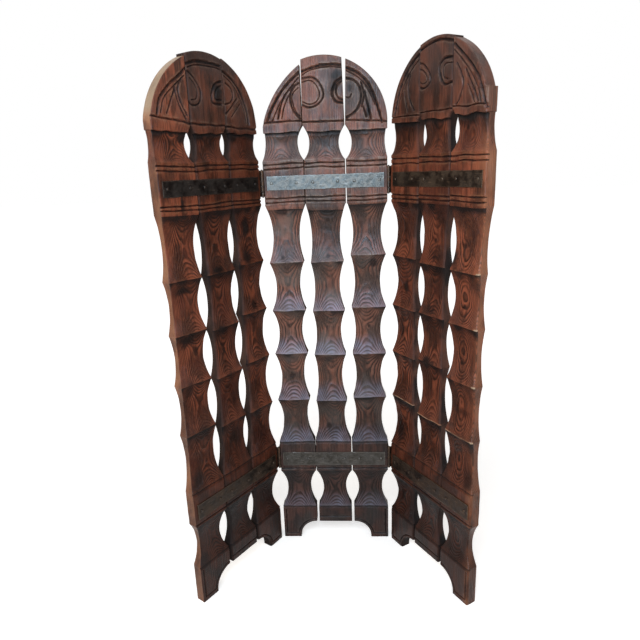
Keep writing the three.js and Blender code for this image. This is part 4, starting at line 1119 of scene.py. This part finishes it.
def iron(name, dark, patch, rubbed, patch_size, scratches, rough=(0.35, 0.6), metal=0.75):
    """Blackened iron with patches of another tone, and edges and scratches rubbed bright."""
    material, tree, shader = new_material(name)
    place = node(tree, "TexCoord").outputs["Object"]
    group = node(tree, "Group", node_tree=patina)
    tree.links.new(place, group.inputs["Place"])
    group.inputs["Patch size"].default_value = patch_size
    group.inputs["Scratches"].default_value = scratches
    patches, scratch, pits, height = (group.outputs[key] for key in ("Patches", "Scratch", "Pits", "Height"))
    wear = node(tree, "Attribute", attribute_name="wear").outputs["Fac"]
    colour = colour_mix(tree, patches, dark, patch)
    bright = sum_of(tree, "MAXIMUM", sum_of(tree, "MULTIPLY", wear, fade(tree, patches, 0, 1, 0.85, 0.25)), scratch)
    colour = colour_mix(tree, bright, colour, rubbed)
    colour = colour_mix(tree, sum_of(tree, "MULTIPLY", pits, 0.8), colour, PIT)
    tree.links.new(colour, shader.inputs["Base Color"])
    roughness = fade(tree, patches, 0, 1, *rough)
    tree.links.new(sum_of(tree, "SUBTRACT", roughness, sum_of(tree, "MULTIPLY", bright, 0.1)),
                   shader.inputs["Roughness"])
    bump = node(tree, "Bump", {"Height": height, "Strength": 1.0, "Distance": DENT_DEPTH})
    tree.links.new(bump.outputs["Normal"], shader.inputs["Normal"])
    shader.inputs["Metallic"].default_value = metal
    return material


# The colours of the dark iron, the patches and the rubbed places, the patches' size, and how scratched it is. Each
# strap paints in its own reflection: the same iron is painted pale on the middle panel's upper strap and near black
# on the left panel's
STRAP_COLOURS_AS_LIT = {
    ("centre", "upper"): ((0.048, 0.054, 0.050), (0.165, 0.168, 0.158), (0.26, 0.26, 0.25), 0.016, 0.5),
    ("centre", "lower"): ((0.028, 0.025, 0.021), (0.060, 0.053, 0.046), (0.17, 0.15, 0.13), 0.030, 0.4),
    ("left_wing", "upper"): ((0.006, 0.004, 0.0035), (0.015, 0.011, 0.009), (0.10, 0.075, 0.06), 0.040, 0.3),
    ("left_wing", "lower"): ((0.012, 0.007, 0.004), (0.038, 0.023, 0.014), (0.14, 0.10, 0.07), 0.040, 0.4),
    ("right_wing", "upper"): ((0.024, 0.015, 0.010), (0.056, 0.036, 0.022), (0.17, 0.11, 0.07), 0.045, 0.4),
    ("right_wing", "lower"): ((0.016, 0.008, 0.005), (0.043, 0.024, 0.014), (0.16, 0.09, 0.05), 0.045, 0.4),
}
# The middle panel's upper strap is painted pale as a reflection of the window, and made dull
PAINTED_SHEEN_STRAP, PALE_SURFACE = ("centre", "upper"), {"rough": (0.45, 0.6), "metal": 0.35}
hinge_finish = iron("hinge_iron", (0.030, 0.020, 0.014), (0.075, 0.040, 0.022), (0.16, 0.13, 0.11), 0.012, 0.4)
print("Iron finishes:", len(STRAP_COLOURS_AS_LIT) + 1)

# %% [markdown]
# ## Straps
# A strap is a flat iron bar, hammered out by hand, so its face is gently uneven and its long edges aren't
# quite straight. It is built like a plank: a grid whose columns run round the bar.

# %% The skin of a strap
STRAP_EDGE = 1.0
STRAP_COLUMNS, STRAP_ROWS = 170, 30
half_strap = (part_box("centre_upper_strap")[1].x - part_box("centre_upper_strap")[0].x) / 2 / MM
strap_front = (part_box("centre_upper_strap")[0].y - front_y) / MM
strap_back = (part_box("centre_upper_strap")[1].y - front_y) / MM


def strap_skin(bottom, top, seed):
    share = np.concatenate([[0, 0.0015, 0.004], np.linspace(0.008, 0.992, STRAP_COLUMNS), [0.996, 0.9985, 1]])
    climb = np.concatenate([[0, 0.01, 0.025], np.linspace(0.05, 0.95, STRAP_ROWS), [0.975, 0.99, 1]])
    s, c = np.meshgrid(share, climb)
    x = (2 * s - 1) * half_strap
    ragged = 0.7 * unevenness(x, c * 100, 38, seed) + 0.3 * unevenness(x, c * 100, 9, seed + 1)
    edge = np.clip(1 - np.minimum(c, 1 - c) * 12, 0, 1)
    z = bottom + (top - bottom) * c - np.sign(c - 0.5) * edge * (0.7 + ragged)
    x = x - np.sign(x) * np.clip(1 - np.minimum(s, 1 - s) * 60, 0, 1) * (0.5 + 0.5 * unevenness(z, z * 0, 11, seed))
    away = np.minimum(np.minimum(s, 1 - s) * 2 * half_strap, np.minimum(c, 1 - c) * (top - bottom))
    dents = 0.28 * unevenness(x, z, 17, seed + 2) + 0.22 * unevenness(x, z, 7, seed + 3)
    y = strap_front + 0.45 + rounding(away, STRAP_EDGE) + dents * np.clip(away / 3, 0, 1)
    wear = np.exp(-away / 1.6)
    columns = [(x, y, z, wear)]
    for part, behind in ((slice(-1, None), 0.4), (slice(None, None, -1), 0.0), (slice(0, 1), 0.4)):
        side = x[:, part]
        columns.append((side, np.full_like(side, strap_back - behind), z[:, part], np.zeros_like(side)))
    x, y, z, wear = [np.concatenate(parts, 1) for parts in zip(*columns)]
    rows, ring = x.shape
    fronts = len(share)
    faces = skin_faces(rows, ring).tolist()
    for first, turn in ((0, -1), ((rows - 1) * ring, 1)):
        for i in range(fronts - 1):
            back = first + 2 * fronts - i
            loop = [first + i, first + i + 1, back - 1, back]
            if i == fronts - 2:
                loop = [first + i, first + i + 1, first + fronts, back - 1, back]
            if i == 0:
                loop.append(first + 2 * fronts + 1)
            faces.append(loop[::turn])
    return np.stack([x, y, z], -1).reshape(-1, 3), faces, wear.ravel()


points, faces, _ = strap_skin(0, 49, 1)
print("A strap:", len(points), "points,", round(2 * half_strap, 1), "mm long")

# %% The six straps
STRAP_SPANS = {}
for place in ("upper", "lower"):
    low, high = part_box(f"centre_{place}_strap")
    STRAP_SPANS[place] = (low.z / MM, high.z / MM)
strap_iron = {key: iron("_".join(key) + "_strap_iron_with_painted_reflection", *finish, **(PALE_SURFACE if key == PAINTED_SHEEN_STRAP else {}))
              for key, finish in STRAP_COLOURS_AS_LIT.items()}
for panel, place in STRAP_COLOURS_AS_LIT:
    node_name = f"{panel}_{place}_strap"
    points, faces, wear = strap_skin(*STRAP_SPANS[place], 700 + 13 * list(STRAP_COLOURS_AS_LIT).index((panel, place)))
    piece = add_piece("hammered_" + node_name, points, faces, PLACES[panel], panel,
                      strap_iron[panel, place], [node_name])
    store(piece, "wear", wear)
print("Strap spans:", STRAP_SPANS)

# %% [markdown]
# ## Nails
# Hand-made nails with low domed heads hold the straps. A nail is turned like a spindle: its outline is spun
# round its axis, and each head is then knocked slightly out of round. The point is buried in the wood.

# %% Turning an outline round an axis
def turned(outline, sides, out_of_round=0.0, seed=0):
    """Points and faces of an outline of (radius, distance along the axis) that starts and ends on the axis."""
    rng = np.random.default_rng(seed)
    bumps = 1 + out_of_round * rng.uniform(-1, 1, sides)
    bumps = (bumps + np.roll(bumps, 1)) / 2
    angle = np.linspace(0, 2 * math.pi, sides, endpoint=False)
    rings = [np.stack([radius * bumps * np.cos(angle), np.full(sides, along), radius * bumps * np.sin(angle)], 1)
             for radius, along in outline[1:-1]]
    points = np.vstack([*rings, [[0, outline[0][1], 0], [0, outline[-1][1], 0]]])
    faces = skin_faces(len(rings), sides).tolist()
    last = (len(rings) - 1) * sides
    start, end = len(points) - 2, len(points) - 1
    faces += [[start, (i + 1) % sides, i] for i in range(sides)]
    faces += [[last + i, last + (i + 1) % sides, end] for i in range(sides)]
    return points, faces


HEAD_RADIUS, HEAD_HEIGHT, SHANK_RADIUS, NAIL_LENGTH, NAIL_SIDES = 5.5, 2.5, 2.0, 30.0, 20
dome = [(HEAD_RADIUS * math.sin(a), HEAD_HEIGHT * (1 - math.cos(a)) - HEAD_HEIGHT)
        for a in np.linspace(0, math.pi / 2, 8)]
NAIL_OUTLINE = [*dome, (HEAD_RADIUS - 0.1, 0.25), (SHANK_RADIUS, 0.3), (SHANK_RADIUS, NAIL_LENGTH - 3),
                (0.5, NAIL_LENGTH - 0.4), (0, NAIL_LENGTH - 0.3)]
points, faces = turned(NAIL_OUTLINE, NAIL_SIDES)
print("A nail:", len(points), "points")

# %% The thirty-six nails
def node_middle(name):
    low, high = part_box(name)
    return (low + high) / 2


nail_x = [node_middle(f"centre_upper_strap_nail_{i + 1}").x / MM for i in range(6)]
nail_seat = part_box("centre_upper_strap_nail_1")[0].y / MM - front_y / MM + HEAD_HEIGHT
for panel in BODIES:
    for place, (bottom, top) in STRAP_SPANS.items():
        for i, across in enumerate(nail_x):
            node_name = f"{panel}_{place}_strap_nail_{i + 1}"
            seed = 2000 + 12 * list(BODIES).index(panel) + 6 * (place == "upper") + i
            points, faces = turned(NAIL_OUTLINE, NAIL_SIDES, 0.06, seed)
            points = points + [across, nail_seat, (bottom + top) / 2]
            piece = add_piece("forged_" + node_name, points, faces, PLACES[panel], panel,
                              strap_iron[panel, place], [node_name])
            store(piece, "wear", np.clip(-(points[:, 1] - nail_seat) / HEAD_HEIGHT, 0, 1) ** 2 * 0.3)

# %% [markdown]
# ## Hinges
# Each side panel hangs on two iron butt hinges. A leaf is screwed to each edge, and its rolled knuckles share
# one pin. The middle panel's leaf carries knuckles one, three and five and the pin, the side panel's two and
# four. Leaves and knuckles are made separately and joined into one mesh, with a small chamfer on every edge
# where a real leaf is rounded by the press.

# %% Sizes of a hinge, in millimetres
HINGE_HEIGHT, KNUCKLES, KNUCKLE_RADIUS, PIN_RADIUS = 89.0, 5, 5.0, 2.5
LEAF_DEPTH, LEAF_THICKNESS, LEAF_GAP, SLIT = 36.0, 1.8, 0.8, 0.3
hinge_heights = {place: node_middle(f"left_wing_{place}_hinge_fixed_leaf").z / MM for place in ("upper", "lower")}
print("Hinges at", hinge_heights)


def knuckle_span(i):
    pitch = HINGE_HEIGHT / KNUCKLES
    bottom = i * pitch - HINGE_HEIGHT / 2 + (SLIT / 2 if i else 0)
    top = (i + 1) * pitch - HINGE_HEIGHT / 2 - (SLIT / 2 if i + 1 < KNUCKLES else 0)
    return bottom, top


def upright(points):
    """Turns points made along Y so that their axis stands along Z."""
    return np.stack([points[:, 0], -points[:, 2], points[:, 1]], 1)


def block(x, y, z, chamfer):
    """A box with its four edges along X chamfered, from low and high pairs."""
    (y0, y1), (z0, z1) = y, z
    ring = [(y0 + chamfer, z0), (y1 - chamfer, z0), (y1, z0 + chamfer), (y1, z1 - chamfer),
            (y1 - chamfer, z1), (y0 + chamfer, z1), (y0, z1 - chamfer), (y0, z0 + chamfer)]
    points = np.array([(side, *place) for side in x for place in ring], float)
    sides = [[i, (i + 1) % 8, 8 + (i + 1) % 8, 8 + i] for i in range(8)]
    faces = [list(range(7, -1, -1)), list(range(8, 16)), *sides]
    return points, faces


def joined(parts):
    points, faces, count = [], [], 0
    for part_points, part_faces in parts:
        points.append(part_points)
        faces += [[count + index for index in face] for face in part_faces]
        count += len(part_points)
    return np.vstack(points), faces


# %% The leaves with their knuckles
def leaf_parts(sign, first, has_pin):
    """A leaf on the side of the pin given by sign, about the middle of the pin."""
    x = sorted((sign * LEAF_GAP / 2, sign * (LEAF_GAP / 2 + LEAF_THICKNESS)))
    parts = [block(x, (KNUCKLE_RADIUS + SLIT, LEAF_DEPTH), (-HINGE_HEIGHT / 2, HINGE_HEIGHT / 2), 1.2)]
    for i in range(first, KNUCKLES, 2):
        bottom, top = knuckle_span(i)
        parts.append(block(x, (0, KNUCKLE_RADIUS + SLIT + 2), (bottom, top), 0.1))
        outline = [(0, bottom), (KNUCKLE_RADIUS - 0.5, bottom), (KNUCKLE_RADIUS, bottom + 0.5),
                   (KNUCKLE_RADIUS, top - 0.5), (KNUCKLE_RADIUS - 0.5, top), (0, top)]
        points, faces = turned(outline, 24)
        parts.append((upright(points), [face[::-1] for face in faces]))
    if has_pin:
        half = HINGE_HEIGHT / 2
        tip = [(0, half + 3), (1.6, half + 2.7), (2.9, half + 2.1), (3.5, half + 1.3), (3.1, half + 0.5),
               (PIN_RADIUS, half - 0.6)]
        outline = [(r, -h) for r, h in tip] + [(r, h) for r, h in tip[::-1]]
        points, faces = turned(outline, 24)
        parts.append((upright(points), [face[::-1] for face in faces]))
    return joined(parts)


LEAF_SHARP = 40
# Screws as (from the pin, from the leaf's middle), and the outline of one
SCREW_PLACES = [(13.0, -33.0), (27.0, -15.0), (27.0, 15.0), (13.0, 33.0)]
screw_dome = [(0, -0.35), (1.6, -0.34), (2.9, -0.28), (3.5, -0.16), (3.7, 0.1), (1.5, 0.9), (1.5, 9.0), (0, 12.0)]
for wing, side in WING_SIDE.items():
    pin_point = PINS[wing]
    turn = Matrix.Rotation(-side * WING_FOLD[wing], 4, "Z")
    for kind, sign, first, panel in (("fixed", -side, 0, "centre"), ("moving", side, 1, wing)):
        for place, height in hinge_heights.items():
            stand = Matrix.Translation((pin_point.x, pin_point.y, height * MM))
            stand = stand if kind == "fixed" else stand @ turn
            node_name = f"{wing}_{place}_hinge_{kind}_leaf"
            points, faces = leaf_parts(sign, first, kind == "fixed")
            add_piece("pressed_" + node_name, points, faces, stand, panel, hinge_finish, [node_name],
                      LEAF_SHARP)
            for i, (depth, rise) in enumerate(SCREW_PLACES):
                points, faces = turned(screw_dome, 16)
                along = points[:, 1] + LEAF_GAP / 2 + 0.05
                points = np.stack([sign * along, depth + sign * points[:, 0], rise + points[:, 2]], 1)
                add_piece(f"screw_{i + 1}_of_{node_name}", points, faces, stand, panel,
                          hinge_finish)

# %% [markdown]
# ## Floor and light
# The screen stands on a plain pale floor in a white studio. A broad soft lamp above the camera lights it, two
# warm ones fill in from the sides, and a bluish one, like a window, only shines: it shows in the wax and the
# iron but lights nothing. The world is plain grey for lighting. Where the camera or a reflection looks at the
# floor or past the screen, both are lifted to white, and the floor keeps the screen's shadow.

# %% The floor
def seen_directly(tree):
    """1 for rays from the camera, or by way of a reflection, and 0 for light that falls on the screen."""
    rays = node(tree, "LightPath").outputs
    mirrored = sum_of(tree, "MAXIMUM", rays["Is Glossy Ray"], rays["Is Transmission Ray"])
    return sum_of(tree, "MAXIMUM", rays["Is Camera Ray"], mirrored)


floor_mesh = bpy.data.meshes.new("floor")
reach = 30.0
floor_mesh.from_pydata([(-reach, -reach, 0), (reach, -reach, 0), (reach, reach, 0), (-reach, reach, 0)], [],
                       [[0, 1, 2, 3]])
floor = bpy.data.objects.new("floor", floor_mesh)
bpy.context.scene.collection.objects.link(floor)
floor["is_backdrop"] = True
paper, tree, shader = new_material("white_floor")
shader.inputs["Roughness"].default_value = 0.9
shader.inputs["Specular IOR Level"].default_value = 0.0
shader.inputs["Base Color"].default_value = (0.86, 0.86, 0.86, 1)
from_middle = node(tree, "VectorMath", {0: node(tree, "TexCoord").outputs["Object"]}, operation="LENGTH")
open_floor = fade(tree, from_middle.outputs["Value"], 0.7, 3.0, 0.5, 0.85)
glow = sum_of(tree, "MULTIPLY", seen_directly(tree), open_floor)
lift = node(tree, "Emission", {"Color": (1, 1, 1, 1), "Strength": glow})
both = node(tree, "AddShader", {0: shader.outputs[0], 1: lift.outputs[0]})
tree.links.new(both.outputs[0], tree.nodes["Material Output"].inputs["Surface"])
floor_mesh.materials.append(paper)
print("Floor", 2 * reach, "m wide")

# %% The world and the lamps
world = bpy.data.worlds.new("studio")
world.use_nodes = True
bpy.context.scene.world = world
tree = world.node_tree
AMBIENT = 0.3
strength = sum_of(tree, "ADD", sum_of(tree, "MULTIPLY", seen_directly(tree), 1 - AMBIENT), AMBIENT)
tree.links.new(strength, tree.nodes["Background"].inputs["Strength"])
tree.nodes["Background"].inputs["Color"].default_value = (1, 1, 1, 1)


def soft_lamp(name, place, aim, size, watts, colour, shine_only=False):
    lamp = bpy.data.lights.new(name, "AREA")
    lamp.shape, lamp.size, lamp.size_y = "RECTANGLE", *size
    lamp.energy, lamp.color = watts, colour
    made = bpy.data.objects.new(name, lamp)
    made.location = place
    made.rotation_mode = "QUATERNION"
    made.rotation_quaternion = (Vector(aim) - Vector(place)).to_track_quat("-Z", "Y")
    made.visible_diffuse = not shine_only
    bpy.context.scene.collection.objects.link(made)


soft_lamp("key", (-0.4, -2.8, 3.3), (0, 0, 1.1), (1.7, 1.7), 90, (0.84, 0.92, 1.0))
soft_lamp("warm_left", (-2.7, -2.0, 2.2), (0, 0, 1.0), (1.5, 1.5), 48, (1.0, 0.88, 0.74))
soft_lamp("warm_right", (2.7, -2.0, 2.2), (0, 0, 1.0), (1.5, 1.5), 48, (1.0, 0.88, 0.74))
soft_lamp("window_shine", (-0.35, -3.0, 2.0), (0, 0, 1.1), (1.3, 1.6), 120, (0.50, 0.74, 1.0), shine_only=True)

# %% [markdown]
# ## The camera
# The camera stands a little to the right, at the height of a seated person's eyes over a table, and looks
# down at the screen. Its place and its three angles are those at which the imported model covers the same
# outline as the photograph.

# %% The photograph's camera
CAMERA_PLACE, YAW, PITCH, ROLL, FOCAL_PIXELS = (83.553, -1922.711, 1468.749), -3.537, 15.486, 2.102, 540.229
yaw, pitch, roll = (math.radians(angle) for angle in (YAW, PITCH, ROLL))
ahead = Vector((math.sin(yaw) * math.cos(pitch), math.cos(yaw) * math.cos(pitch), -math.sin(pitch)))
level = Vector((math.cos(yaw), -math.sin(yaw), 0))
down = ahead.cross(level)
image_right = math.cos(roll) * level + math.sin(roll) * down
image_down = -math.sin(roll) * level + math.cos(roll) * down
camera_data = bpy.data.cameras.new("camera")
camera_data.sensor_width = 36.0
camera_data.lens = FOCAL_PIXELS / 640 * camera_data.sensor_width
camera = bpy.data.objects.new("camera", camera_data)
turn = Matrix((image_right, -image_down, -ahead)).transposed().to_4x4()
camera.matrix_world = Matrix.Translation(Vector(CAMERA_PLACE) * MM + Vector((0, front_y, 0))) @ turn
bpy.context.scene.collection.objects.link(camera)
bpy.context.scene.camera = camera
bpy.context.scene.view_settings.view_transform = "Standard"
print("Lens", round(camera_data.lens, 2), "mm")

# %% The size of the visual model
low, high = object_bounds()
print("Visual box:", [round(v, 4) for v in (*low, *high)])
